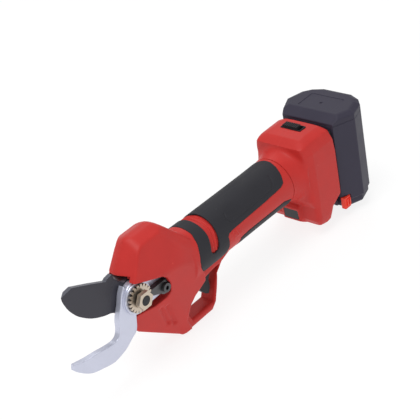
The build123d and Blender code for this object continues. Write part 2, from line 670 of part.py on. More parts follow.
def under_grip_pad():
    return pad_shell(PAD_PROUD) & under_pad_region()


def grip_ribs():
    """Two raised ribs in the gap between the pads."""
    ribs = None
    for y in (81.4, 85.0):
        ring = grip_turned(-0.2, 56.0, SEAM_Y) - grip_turned(-PAD_DEPTH, 56.0, SEAM_Y)
        outline = [(y - 0.9, 30), (y - 1.0, 10), (y - 3.2, -1), (y - 1.4, -1), (y + 0.9, 10), (y + 0.9, 30)]
        rib = ring & slab(outline, -40, 40)
        ribs = rib if ribs is None else ribs + rib
    return ribs


def grip_half(side):
    """One half of the grip housing: side is 1 for the left and -1 for the right."""
    x_span = (0, 60) if side > 0 else (-60, 0)
    shell = grip_outline_solid() & block(x_span, (-40, SEAM_Y), (-90, 60))
    shell -= pad_shell(1.0) & pad_recess()
    shell -= pad_shell(1.0) & under_pad_region()
    shell += grip_ribs() & block(x_span, (-40, SEAM_Y), (-90, 60))
    for space in inner_spaces():
        shell -= space
    if side > 0:
        shell -= pocket()
    else:
        shell -= rod_x(0, 0, 7.2, -40, -10)
    shell -= screw_clearance(side)
    shell -= rod_x(*TRIGGER_PIN, 1.5, -6.0, 6.0)
    return shell


# ---------------------------------------------------------------- trigger
def trigger():
    outline = [(58.6, -27.0), (60.5, -25.4), (63.0, -25.4), (76.0, -29.5), (83.0, -31.5), (84.4, -35.0)]
    outline += [(80.8, -41.0), (80.6, -49.0), (78.1, -53.0), (74.6, -51.0), (70.8, -45.5)]
    outline += [(66.0, -39.0), (60.0, -32.5)]
    lever = slab(outline, -4.0, 4.0)
    return lever - rod_x(*TRIGGER_PIN, 1.5 + RUN, -10, 10)


def trigger_pin():
    return rod_x(*TRIGGER_PIN, 1.5, -6.0, 6.0)


def trigger_spring():
    wire = Helix(pitch=1.5, height=7.6, radius=1.9)
    coil = sweep(Plane(wire @ 0, z_dir=wire % 0) * Circle(0.3), path=wire)
    return Pos(0, 79.5, -29.6) * coil


def trigger_switch():
    return block((-3.0, 3.0), (86.5, 91.0), (-33.0, -24.6))


# ---------------------------------------------------------------- rear housing
def rear_outer():
    shape = collar_outer() + rear_box(0.0)
    bump = [(194.0, -39.5), (192.6, -42.0), (194.0, -55.0), (197.0, -57.2), (203.0, -58.5), (203.0, -34.0)]
    return shape + slab(bump, -9.6, 9.6)


def rear_cavity():
    box = rear_box(WALL) & block((-60, 60), (192.0, 226.5), (-90, 60))
    tube = rod_y(16.6, SEAM_Y - 1, 196.0, 0, grip_centre(SEAM_Y))
    open_back = block((-24.0, 24.0), (215.0, 240.0), (-42.4, 17.0))
    display = block((-8.8, 8.8), (WINDOW_Y[1] + 0.1, 206.0), (-53.6, -43.4))
    return [box, tube, open_back, display]


def rear_half(side):
    x_span = (0, 60) if side > 0 else (-60, 0)
    shell = rear_outer() & block(x_span, (SEAM_Y, 240), (-90, 60))
    for space in rear_cavity():
        shell -= space
    shell -= block((-WINDOW_X - 0.1, WINDOW_X + 0.1), (186.0, 200.0), (WINDOW_Z[0] - 0.1, WINDOW_Z[1] + 0.1))
    shell -= block((-10.0, 10.0), (SWITCH_Y - 4.2, SWITCH_Y + 4.2), (15, 40))
    for y, z in REAR_SCREW_SITES:
        shell += rod_x(y, z, 3.6, -14, 14) & block(x_span, (180, 229), (-90, 60))
    for y, z in REAR_SCREW_SITES:
        if side < 0:
            shell -= rod_x(y, z, 2.9, -40, -6.5) + rod_x(y, z, 1.5, -10, 1)
        else:
            shell -= rod_x(y, z, 1.4, -1, 6.0)
    return shell


def screws():
    bodies = []
    for y, z in SCREW_SITES:
        bodies.append(screw_at(y, z, 2.9, -7.0, -4.5))
    for y, z in REAR_SCREW_SITES:
        bodies.append(screw_at(y, z, 2.7, -9.0, -6.5))
    return bodies


def screw_at(y, z, head_r, head_low, head_high):
    shape = rod_x(y, z, head_r, head_low, head_high) + rod_x(y, z, 1.4, head_high, 6.0)
    return shape - slab_of(Pos(y, z) * RegularPolygon(1.3, 6), head_low, head_low + 1.4)


def switch_base():
    y = (SWITCH_Y - 4.1, SWITCH_Y + 4.1)
    tray = block((-9.9, 9.9), y, (SWITCH_Z - 5.0, SWITCH_Z - 0.4))
    return tray - block((-9.0, 9.0), (SWITCH_Y - 3.4, SWITCH_Y + 3.4), (SWITCH_Z - 3.8, SWITCH_Z + 1))


def power_slider():
    y_span = (SWITCH_Y - 3.2, SWITCH_Y + 3.2)
    slider = block((-8.8, 5.8), y_span, (SWITCH_Z - 3.7, SWITCH_Z + 0.2))
    for k in range(8):
        x = -8.0 + 1.85 * k
        slider += block((x - 0.5, x + 0.5), y_span, (SWITCH_Z + 0.2, SWITCH_Z + 1.2))
    return slider


def display_window():
    pane = block((-WINDOW_X, WINDOW_X), WINDOW_Y, WINDOW_Z)
    return fillet(pane.edges().filter_by(Axis.Y), 1.2)


def display_board():
    face_y = WINDOW_Y[1] + 2.2
    middle_z = sum(WINDOW_Z) / 2
    board = block((-8.5, 8.5), (face_y, face_y + 1.2), (WINDOW_Z[0] + 0.3, WINDOW_Z[1] + 0.3))
    for k in range(4):
        board += Pos(-4.8 + 3.2 * k, face_y - 0.6, middle_z) * Box(1.6, 1.2, 1.6)
    return board


# ---------------------------------------------------------------- battery shoe
def battery_shoe():
    shoe = block((-23.8, 23.8), (226.6, 230.9), (-42.2, 16.8))
    for side in (-1, 1):
        web = sorted((side * RAIL_WEB[0], side * RAIL_WEB[1]))
        flange = sorted((side * RAIL_FLANGE[0], side * RAIL_FLANGE[1]))
        shoe += block(web, (230.5, 234.4), RAIL_Z)
        shoe += block(flange, (234.2, 236.2), RAIL_Z)
    shoe += block((-14.0, 14.0), (229.9, 248.0), (-60.5, -55.6))
    shoe += block((-14.0, 14.0), (229.9, 231.3), (-60.5, -40.0))
    for x in TERMINAL_X:
        shoe -= block((x - 0.4, x + 0.4), (237.0, 243.0), (-59.0, -50.0))
    for x, z in SHOE_SCREW_SITES:
        shoe -= rod_y(1.5, 220, 240, x, z) + rod_y(2.8, 229.4, 240, x, z)
    return shoe


def shoe_terminals():
    return [block((x - 0.4, x + 0.4), (237.0, 243.0), (-59.0, -49.5)) for x in TERMINAL_X]


def shoe_screws():
    bodies = []
    for x, z in SHOE_SCREW_SITES:
        shape = rod_y(1.5, 222.0, 229.4, x, z) + rod_y(2.7, 229.4, 230.8, x, z)
        bodies.append(shape)
    return bodies


# ---------------------------------------------------------------- battery pack
def pack_prism(inset, z_low, z_high):
    """The pack's six-sided body with bevelled rear corners, made smaller all round by inset."""
    face = inset_polygon(mirrored(PACK_PLAN), inset)
    return Pos(0, 0, z_low) * extrude(face, amount=z_high - z_low, dir=(0, 0, 1))


def pack_rail_grooves(grow):
    cut = None
    for side in (-1, 1):
        web = sorted((side * (RAIL_WEB[0] - 0.4 - grow), side * (RAIL_WEB[1] + 0.4 + grow)))
        flange = sorted((side * (RAIL_FLANGE[0] - 0.4 - grow), side * (RAIL_FLANGE[1] + 0.4 + grow)))
        groove = block(web, (228.0, 234.0 + grow), (-70.0, RAIL_Z[1] + 1.0 + grow))
        groove += block(flange, (233.8 - grow, 236.6 + grow), (-70.0, RAIL_Z[1] + 1.0 + grow))
        cut = groove if cut is None else cut + groove
    return cut


def button_room(side):
    x_span = sorted((side * (BUTTON_X[0] - 2.2), side * 40.0))
    return block(x_span, (230.0, BUTTON_Y[1] + 0.4), (BUTTON_Z[0] - 0.4, BUTTON_Z[1] + 0.4))


def battery_case():
    case = pack_prism(0.0, *PACK_Z)
    lower = case.edges().filter_by(Plane.XY).sort_by(Axis.Z)[:2 * len(PACK_PLAN)]
    case = chamfer(lower, 2.0)
    room = pack_prism(PACK_WALL, PACK_Z[0] + 3.0, PACK_Z[1] + 1)
    room -= block((-17.0, 17.0), (228, 251.0), (-80, PACK_FLOOR_Z))
    room -= pack_rail_grooves(1.0)
    for side in (-1, 1):
        wall_x = sorted((side * (BUTTON_X[0] - 3.7), side * 40.0))
        room -= block(wall_x, (228, BUTTON_Y[1] + 1.9), (BUTTON_Z[0] - 3, BUTTON_Z[1] + 1.9))
    case -= room
    case -= pack_rail_grooves(0.0)
    # the open slot in the foot that the shoe's tongue stands in
    case -= block((-14.6, 14.6), (228, 248.6), (-80, -55.2))
    for side in (-1, 1):
        case -= button_room(side)
    for x in TERMINAL_X:
        case -= block((x - 0.9, x + 0.9), (236.4, 243.6), (-60.0, -51.0))
    for x, y in PACK_SCREW_SITES:
        case += rod_z(3.5, PACK_Z[0] + 2.0, PACK_SCREW_BOSS_Z, x, y)
        case -= rod_z(2.7, PACK_Z[0] - 1.0, PACK_SCREW_SEAT_Z, x, y)
        case -= rod_z(PACK_SCREW_R, PACK_SCREW_SEAT_Z - 1.0, PACK_SCREW_BOSS_Z + 1.0, x, y)
    return case


def battery_top_cap():
    top = PACK_Z[1] + PACK_CAP
    cap = pack_prism(0.0, PACK_Z[1], top)
    upper = cap.edges().filter_by(Plane.XY).sort_by(Axis.Z)[-2 * len(PACK_PLAN):]
    cap = chamfer(upper, 2.0)
    cap -= pack_prism(PACK_WALL, PACK_Z[1] - 1.0, top - 2.4)
    cap -= block((-17, 17), (PACK_PANEL_Y - 10, PACK_PANEL_Y + 10), (top - 0.4, top + 2))
    cap -= Pos(0, PACK_PANEL_Y, top - 1.0) * Cylinder(1.2, 2)
    for x, y in PACK_SCREW_SITES:
        cap += rod_z(2.8, PACK_SCREW_BOSS_Z, top - 2.0, x, y)
        cap -= rod_z(PACK_SCREW_R, PACK_SCREW_BOSS_Z - 1.0, PACK_Z[1] + 1.0, x, y)
    return cap


def pack_screws():
    bodies = []
    for x, y in PACK_SCREW_SITES:
        shank = rod_z(PACK_SCREW_R, PACK_SCREW_SEAT_Z, PACK_Z[1] + 0.6, x, y)
        bodies.append(shank + rod_z(2.5, PACK_SCREW_SEAT_Z - 1.6, PACK_SCREW_SEAT_Z, x, y))
    return bodies


def cell_spots():
    return [(x, y) for y, row in CELL_ROWS for x in row]


def battery_cells():
    bodies = []
    for x, y in cell_spots():
        can = rod_z(CELL_R, CELL_Z, CELL_Z + CELL_LENGTH, x, y)
        bodies.append(fillet(can.edges().filter_by(GeomType.CIRCLE), 0.8))
    return bodies


def cell_holders():
    plate = block((-26.0, 26.0), (239.0, 268.0), (-1.5, 1.5))
    bodies = []
    for z in (-30.0, 3.0):
        holder = Pos(0, 0, z) * (plate & pack_prism(2.2, -10, 10))
        for x, y in cell_spots():
            holder -= Pos(x, y, z) * Cylinder(CELL_R, 10)
        for x, y in PACK_SCREW_SITES:
            holder -= Pos(x, y, z) * Cylinder(3.8, 10)
        bodies += [solid for solid in holder.solids() if solid.volume > 200.0]
    return bodies


def cell_links():
    bodies = []
    spots = cell_spots()
    for z, pairs in ((CELL_Z - 0.3, ((0, 1), (2, 3))), (CELL_Z + CELL_LENGTH, ((0, 3), (1, 4)))):
        for first, second in pairs:
            (x1, y1), (x2, y2) = spots[first], spots[second]
            length = math.hypot(x2 - x1, y2 - y1)
            angle = math.degrees(math.atan2(y2 - y1, x2 - x1))
            strip = Box(length + 6, 6, 0.3, align=(Align.CENTER, Align.CENTER, Align.MIN))
            bodies.append(Pos((x1 + x2) / 2, (y1 + y2) / 2, z) * Rot(0, 0, angle) * strip)
    return bodies


def protection_board():
    return block((-15.0, 15.0), (247.0, 267.0), (-50.6, -49.2))


def pack_terminals():
    bodies = []
    for x in TERMINAL_X:
        clip = block((x - 1.3, x + 1.3), (236.6, 243.4), (-50.9, -49.6))
        clip -= block((x - 0.5, x + 0.5), (236.0, 244.0), (-52, -48))
        for half in (-1, 1):
            part = clip & block(sorted((x, x + half * 2)), (236, 244), (-52, -48))
            bodies.append(part)
    return bodies


def release_button(side):
    body = block(sorted((side * BUTTON_X[0], side * BUTTON_X[1])), BUTTON_Y, BUTTON_Z)
    body = fillet(body.edges().filter_by(Axis.Z), 1.0)
    rib_z = (BUTTON_Z[0] + 2, BUTTON_Z[1] - 2)
    rib_x = sorted((side * (BUTTON_X[1] - 0.5), side * (BUTTON_X[1] + 0.8)))
    for y in (BUTTON_Y[0] + 3.1, BUTTON_Y[0] + 6.3):
        body += block(rib_x, (y - 0.7, y + 0.7), rib_z)
    return body


# ---------------------------------------------------------------- write the parts
def write(name, shape):
    solids = shape if isinstance(shape, list) else list(shape.solids())
    solids = [piece for item in solids for piece in item.solids()]
    solids = [piece for piece in solids if piece.volume > 0.5]
    solids = [Pos(*FRAME_SHIFT) * piece for piece in solids]
    body = solids[0] if len(solids) == 1 else Compound(solids)
    body.label = name
    export_step(body, f"parts/{name}.step")


write("left_housing", grip_half(1))
write("right_housing", grip_half(-1))
write("rear_housing_left", rear_half(1))
write("rear_housing_right", rear_half(-1))
write("left_grip_pad", side_pads() & block((0, 60), (50, 180), (-90, 60)))
write("right_grip_pad", side_pads() & block((-60, 0), (50, 180), (-90, 60)))
write("under_grip_pad", under_grip_pad())
write("housing_screws", screws())
write("front_frame", front_frame())
write("fixed_hook", fixed_hook())
write("pivot_bolt", pivot_bolt())
write("pivot_washer", pivot_washer())
write("lock_nut", lock_nut())
write("lock_plate", lock_plate())
write("lock_screw", lock_screw())
write("output_bearing", output_bearing())
write("gearbox_case", gearbox_case())
write("motor_case", motor_case())
write("motor_stator", motor_stator())
write("motor_end_cap", motor_end_cap())
write("motor_leads", motor_leads())
write("position_sensor", position_sensor())
write("position_magnet", position_magnet())
write("cutting_blade", cutting_blade())
write("sector_gear", sector_gear())
write("sector_screws", sector_screws())
write("output_pinion", output_pinion())
write("output_carrier", output_carrier())
write("first_carrier", first_carrier())
for index, angle in enumerate(planet_angles()):
    write(f"output_planet_{index + 1}", planet(angle, STAGE_2_Y))
    write(f"first_planet_{index + 1}", planet(angle, STAGE_1_Y))
write("rotor_shaft", rotor_shaft())
write("rotor_core", rotor_core())
write("trigger", trigger())
write("trigger_pin", trigger_pin())
write("trigger_spring", trigger_spring())
write("trigger_switch", trigger_switch())
write("control_board", control_board())
write("battery_leads", battery_leads())
write("switch_base", switch_base())
write("power_slider", power_slider())
write("display_board", display_board())
write("display_window", display_window())
write("battery_shoe", battery_shoe())
write("shoe_terminals", shoe_terminals())
write("shoe_screws", shoe_screws())
write("battery_case", battery_case())
write("battery_top_cap", battery_top_cap())
write("battery_cells", battery_cells())
write("cell_holders", cell_holders())
write("cell_links", cell_links())
write("protection_board", protection_board())
write("pack_terminals", pack_terminals())
write("pack_screws", pack_screws())
write("release_button_left", release_button(1))
write("release_button_right", release_button(-1))
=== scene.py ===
import functools
import json
import math

import bpy
import numpy as np
from mathutils import Matrix, Vector


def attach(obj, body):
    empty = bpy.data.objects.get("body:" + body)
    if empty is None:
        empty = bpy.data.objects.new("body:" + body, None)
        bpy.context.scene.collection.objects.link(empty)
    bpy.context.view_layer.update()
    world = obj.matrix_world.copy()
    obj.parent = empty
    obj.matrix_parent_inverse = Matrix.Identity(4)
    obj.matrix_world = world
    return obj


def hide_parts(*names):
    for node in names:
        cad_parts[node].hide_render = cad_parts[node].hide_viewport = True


# Battery electric pruner.  Shapes are worked out in millimetres with the blade pivot at the origin, +Z up
# and the jaws along -Y, then moved into the frame by SHIFT.  +X is the tool's left side.

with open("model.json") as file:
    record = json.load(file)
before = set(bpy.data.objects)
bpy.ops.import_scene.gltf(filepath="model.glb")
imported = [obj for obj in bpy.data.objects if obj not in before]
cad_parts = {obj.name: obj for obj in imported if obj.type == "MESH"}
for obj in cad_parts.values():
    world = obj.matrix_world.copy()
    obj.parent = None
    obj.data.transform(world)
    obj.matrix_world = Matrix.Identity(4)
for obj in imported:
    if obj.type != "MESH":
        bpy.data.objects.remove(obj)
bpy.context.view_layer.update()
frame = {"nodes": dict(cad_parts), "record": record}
nodes = frame["nodes"]

MM = 0.001
JOINTS = {joint["name"]: joint for joint in frame["record"]["behaviour"]["joints"]}
PIVOT = JOINTS["blade_pivot"]["pos_m"]
SHIFT = np.array([0.0, round(PIVOT[1] / MM, 3), round(PIVOT[2] / MM, 3)])


# ---------------------------------------------------------------- distance fields
def smax(a, b, k):
    """The larger of two fields, rounded over a width of k."""
    h = np.clip(k - np.abs(a - b), 0, None)
    return np.maximum(a, b) + h * h / (4 * k)


def smin(a, b, k):
    return -smax(-a, -b, k)


def union(items):
    return functools.reduce(np.minimum, items)


def segment_distance(u, v, start, end):
    """Squared distance to a segment, with the segment's run and the way to each place from its start."""
    eu, ev = end[0] - start[0], end[1] - start[1]
    pu, pv = u - start[0], v - start[1]
    t = np.clip((pu * eu + pv * ev) / (eu * eu + ev * ev), 0, 1)
    return (pu - eu * t) ** 2 + (pv - ev * t) ** 2, (eu, ev), (pu, pv)


def polygon(u, v, points):
    """Signed distance to a closed polygon, negative inside."""
    nearest = np.inf
    sign = 1
    for start, end in zip(points, points[1:] + points[:1]):
        square, (eu, ev), (pu, pv) = segment_distance(u, v, start, end)
        nearest = np.minimum(nearest, square)
        low, high = v >= start[1], v < end[1]
        left = eu * pv > ev * pu
        flip = (low & high & left) | (~low & ~high & ~left)
        sign = sign * np.where(flip, -1, 1)
    return np.sqrt(nearest) * sign


def polyline(u, v, points):
    """Distance to an open chain of segments."""
    return np.sqrt(union(segment_distance(u, v, start, end)[0] for start, end in zip(points, points[1:])))


def curve(points, steps=6):
    """A smooth chain through the points."""
    ends = [points[0]] + list(points) + [points[-1]]
    out = []
    for p0, p1, p2, p3 in zip(ends, ends[1:], ends[2:], ends[3:]):
        for i in range(steps):
            t = i / steps
            spot = []
            for a, b, c, d in zip(p0, p1, p2, p3):
                cubic = (2 * b + (c - a) * t + (2 * a - 5 * b + 4 * c - d) * t * t
                         + (3 * b - a - 3 * c + d) * t ** 3)
                spot.append(cubic / 2)
            out.append(tuple(spot))
    return out + [points[-1]]


def polar(radius, degrees):
    return radius * math.cos(math.radians(degrees)), radius * math.sin(math.radians(degrees))


def span(v, low, high):
    """Negative where v lies between low and high."""
    return np.abs(v - (low + high) / 2) - (high - low) / 2


def prism(section, v, low, high):
    return np.maximum(section, span(v, low, high))


def box(x, y, z, xs, ys, zs):
    return np.maximum(np.maximum(span(x, *xs), span(y, *ys)), span(z, *zs))


def round_x(y, z, y0, z0, radius):
    """A cylinder along X."""
    return np.hypot(y - y0, z - z0) - radius


def rod_x(x, y, z, spot, radius, low, high):
    """A cylinder along X between two limits."""
    return prism(round_x(y, z, *spot, radius), x, low, high)


def smooth_step(t):
    t = np.clip(t, 0, 1)
    return t * t * (3 - 2 * t)


def ridge(distance, width):
    """A soft ridge, 1 high on its line."""
    return np.exp(-(distance / width) ** 2)


# ---------------------------------------------------------------- fields to meshes
PROBE = 0.04            # mm over which a field's slope is measured
NEWTON_STEPS = 3
EDGE_STEPS = 4
LONGEST_MOVE = 0.6      # of a grid step, in one Newton step
SLOPE_FLOOR = 0.25      # smallest squared slope that a move is worked out with
EDGE_REACH = 0.7        # of a grid step, how near to the parting edge a point is drawn onto it
SHARP_ANGLE = math.radians(38)
CORNERS = [(i, j, k) for i in (0, 1) for j in (0, 1) for k in (0, 1)]


def net_points(values, inside):
    """One point for each cell that the surface crosses, in cells, and the cells' point numbers."""
    cells = tuple(n - 1 for n in values.shape)
    count = np.zeros(cells, np.int8)
    for i, j, k in CORNERS:
        count += inside[i:i + cells[0], j:j + cells[1], k:k + cells[2]]
    where = np.nonzero((count > 0) & (count < len(CORNERS)))
    index = np.full(cells, -1, np.int32)
    index[where] = np.arange(len(where[0]))
    total = np.zeros((len(where[0]), 3))
    weight = np.zeros(len(where[0]))
    for start in CORNERS:
        for axis in range(3):
            if start[axis]:
                continue
            end = tuple(v + (n == axis) for n, v in enumerate(start))
            va, vb = (values[tuple(w + c for w, c in zip(where, corner))] for corner in (start, end))
            cross = (va < 0) != (vb < 0)
            gap = np.where(cross, va - vb, 1)
            t = np.where(cross, va / gap, 0)
            for n in range(3):
                total[:, n] += np.where(cross, start[n] + (t if n == axis else 0), 0)
            weight += cross
    return np.stack(where, 1) + total / weight[:, None], index


def net_quads(inside, index):
    """One quad for each grid edge that the surface crosses, facing outwards."""
    quads = []
    for axis in range(3):
        second, third = (axis + 1) % 3, (axis + 2) % 3
        change = inside != np.roll(inside, -1, axis)
        # the grid's outermost edges have no cells all round them
        np.moveaxis(change, axis, 0)[-1] = False
        for across in (second, third):
            np.moveaxis(change, across, 0)[0] = False
            np.moveaxis(change, across, 0)[-1] = False
        spots = np.stack(np.nonzero(change), 1)
        ring = []
        for back_second, back_third in ((1, 1), (0, 1), (0, 0), (1, 0)):
            cell = spots.copy()
            cell[:, second] -= back_second
            cell[:, third] -= back_third
            ring.append(index[tuple(cell.T)])
        ring = np.stack(ring, 1)
        outward = inside[tuple(spots.T)]
        quads.append(np.where(outward[:, None], ring, ring[:, ::-1]))
    return np.concatenate(quads)


def newton_move(level, slope, step):
    """The move along the slope that would bring the field's level to zero, kept short."""
    size = np.maximum((slope ** 2).sum(1), SLOPE_FLOOR)
    move = slope * (level / size)[:, None]
    length = np.linalg.norm(move, axis=1)
    return move * np.minimum(1, LONGEST_MOVE * step / np.maximum(length, 1e-9))[:, None]


def settle(points, field, step):
    """The points brought onto the surface."""
    for _ in range(NEWTON_STEPS):
        x, y, z = points.T
        level = field(x, y, z)
        ahead = (field(x + PROBE, y, z), field(x, y + PROBE, z), field(x, y, z + PROBE))
        slope = np.stack([value - level for value in ahead], 1) / PROBE
        points = points - newton_move(level, slope, step)
    return points


def snap_to_parting(points, shape, step):
    """Moves the points next to the parting edge onto it."""
    near = np.abs(points[:, 0]) < EDGE_REACH * step
    near[near] = np.abs(shape(*points[near].T)) < EDGE_REACH * step
    edge = points[near]
    edge[:, 0] = 0
    for _ in range(EDGE_STEPS):
        x, y, z = edge.T
        level = shape(x, y, z)
        slope = np.stack([shape(x, y + PROBE, z) - level, shape(x, y, z + PROBE) - level], 1) / PROBE
        edge[:, 1:] -= newton_move(level, slope, step)
    points[near] = edge


def surface(shape, low, high, step, side=0):
    """Vertices and quads of the surface where shape is zero, by surface nets and Newton steps.  With side
    1 or -1 only that half is kept, and its edge lies exactly on the mid-plane."""
    def field(x, y, z):
        return np.maximum(shape(x, y, z), -side * x) if side else shape(x, y, z)

    axes = [np.arange(a - step, b + 2 * step, step) for a, b in zip(low, high)]
    x, y, z = np.meshgrid(*(axis.astype(np.float32) for axis in axes), indexing="ij", sparse=True)
    grid = tuple(len(axis) for axis in axes)
    values = np.ascontiguousarray(np.broadcast_to(field(x, y, z), grid)).astype(np.float32)
    inside = values < 0
    points, index = net_points(values, inside)
    points = points * step + np.array([axis[0] for axis in axes])
    points = settle(points, field, step)
    if side:
        snap_to_parting(points, shape, step)
    return points, net_quads(inside, index)


# ---------------------------------------------------------------- materials
BROAD_SCALE = 60.0              # of the slow wander in colour and roughness, per metre
NOISE_MIDDLE = (0.3, 0.7)       # the part of the noise's range that counts
EDGE_RANGE = (0.54, 0.64)       # pointiness from no painted highlight to the full painted highlight
FLAT_RANGE = (0.35, 0.8)        # how far a face looks across the tool
SHADE_REACH = 2.5               # mm
SHADE_RANGE = (0.2, 0.8)


def linear(rgb):
    out = []
    for v in rgb:
        c = v / 255
        out.append(c / 12.92 if c <= 0.04045 else ((c + 0.055) / 1.055) ** 2.4)
    return (*out, 1.0)


def noise(tree, vector, scale, detail, roughness=0.5):
    node = tree.nodes.new("ShaderNodeTexNoise")
    node.inputs["Scale"].default_value = scale
    node.inputs["Detail"].default_value = detail
    node.inputs["Roughness"].default_value = roughness
    tree.links.new(vector, node.inputs["Vector"])
    return node.outputs["Fac"]


def rescaled(tree, value, old, new=(0.0, 1.0)):
    """A value taken from one range to another, and held inside it."""
    node = tree.nodes.new("ShaderNodeMapRange")
    for name, number in zip(("From Min", "From Max", "To Min", "To Max"), (*old, *new)):
        node.inputs[name].default_value = number
    tree.links.new(value, node.inputs["Value"])
    return node.outputs["Result"]


def mixed(tree, share, first, second, blend="MIX"):
    """Two colours mixed: share, first and second are other nodes' outputs or fixed values."""
    node = tree.nodes.new("ShaderNodeMixRGB")
    node.blend_type = blend
    for name, value in (("Fac", share), ("Color1", first), ("Color2", second)):
        if isinstance(value, bpy.types.NodeSocket):
            tree.links.new(value, node.inputs[name])
        else:
            node.inputs[name].default_value = value
    return node.outputs["Color"]


def flatness(tree):
    """1 on faces that look across the tool and 0 on its cut edges."""
    geometry = tree.nodes.new("ShaderNodeNewGeometry")
    split = tree.nodes.new("ShaderNodeSeparateXYZ")
    tree.links.new(geometry.outputs["True Normal"], split.inputs["Vector"])
    flat = tree.nodes.new("ShaderNodeMath")
    flat.operation = "ABSOLUTE"
    tree.links.new(split.outputs["X"], flat.inputs[0])
    return rescaled(tree, flat.outputs["Value"], FLAT_RANGE)


def surface_material(name, rgb, rough, metal=0.0, grain=0.35, depth=0.02, mottle=0.08, streak=(1, 1, 1),
                     coat=0.0, edge=None, edge_highlight_rgb=None, side_rgb=None, hollow_shade=0.0):
    """A procedural finish: grain is the bump's cell in mm, depth its height in mm, mottle the share by
    which the colour and the roughness wander, edge how far the painted highlight on convex edges goes
    towards edge_highlight_rgb, side_rgb the colour of the faces that don't look across the tool, and
    hollow how much painted shade darkens recesses and creases."""
    material = bpy.data.materials.new(name)
    material.use_nodes = True
    tree = material.node_tree
    shader = tree.nodes["Principled BSDF"]
    place = tree.nodes.new("ShaderNodeTexCoord").outputs["Object"]
    mapping = tree.nodes.new("ShaderNodeMapping")
    mapping.inputs["Scale"].default_value = streak
    tree.links.new(place, mapping.inputs["Vector"])
    broad = noise(tree, place, BROAD_SCALE, 4.0, 0.6)

    bump = tree.nodes.new("ShaderNodeBump")
    bump.inputs["Strength"].default_value = 1.0
    bump.inputs["Distance"].default_value = depth * MM
    tree.links.new(noise(tree, mapping.outputs["Vector"], 1 / (grain * MM), 3.0), bump.inputs["Height"])
    tree.links.new(bump.outputs["Normal"], shader.inputs["Normal"])

    tone = tree.nodes.new("ShaderNodeHueSaturation")
    tone.inputs["Color"].default_value = linear(rgb)
    tree.links.new(rescaled(tree, broad, NOISE_MIDDLE, (1 - mottle, 1 + mottle)), tone.inputs["Value"])
    colour = tone.outputs["Color"]
    if side_rgb:
        colour = mixed(tree, flatness(tree), linear(side_rgb), colour)
    # painted highlight: convex edges are lightened towards edge_highlight_rgb by pointiness
    if edge:
        pointed = tree.nodes.new("ShaderNodeNewGeometry").outputs["Pointiness"]
        colour = mixed(tree, rescaled(tree, pointed, EDGE_RANGE, (0.0, edge)), colour, linear(edge_highlight_rgb))
    # painted shade: recesses and creases are darkened by ambient occlusion
    if hollow_shade:
        shade = tree.nodes.new("ShaderNodeAmbientOcclusion")
        shade.inputs["Distance"].default_value = SHADE_REACH * MM
        dark = rescaled(tree, shade.outputs["AO"], SHADE_RANGE, (1 - hollow_shade, 1.0))
        colour = mixed(tree, 1.0, colour, dark, "MULTIPLY")
    tree.links.new(colour, shader.inputs["Base Color"])

    wander = 1.5 * mottle
    gloss = rescaled(tree, broad, NOISE_MIDDLE, (rough * (1 - wander), min(1.0, rough * (1 + wander))))
    tree.links.new(gloss, shader.inputs["Roughness"])
    shader.inputs["Metallic"].default_value = metal
    shader.inputs["Specular IOR Level"].default_value = 0.5 if metal else 0.22
    shader.inputs["Coat Weight"].default_value = coat
    shader.inputs["Coat Roughness"].default_value = 0.25
    return material


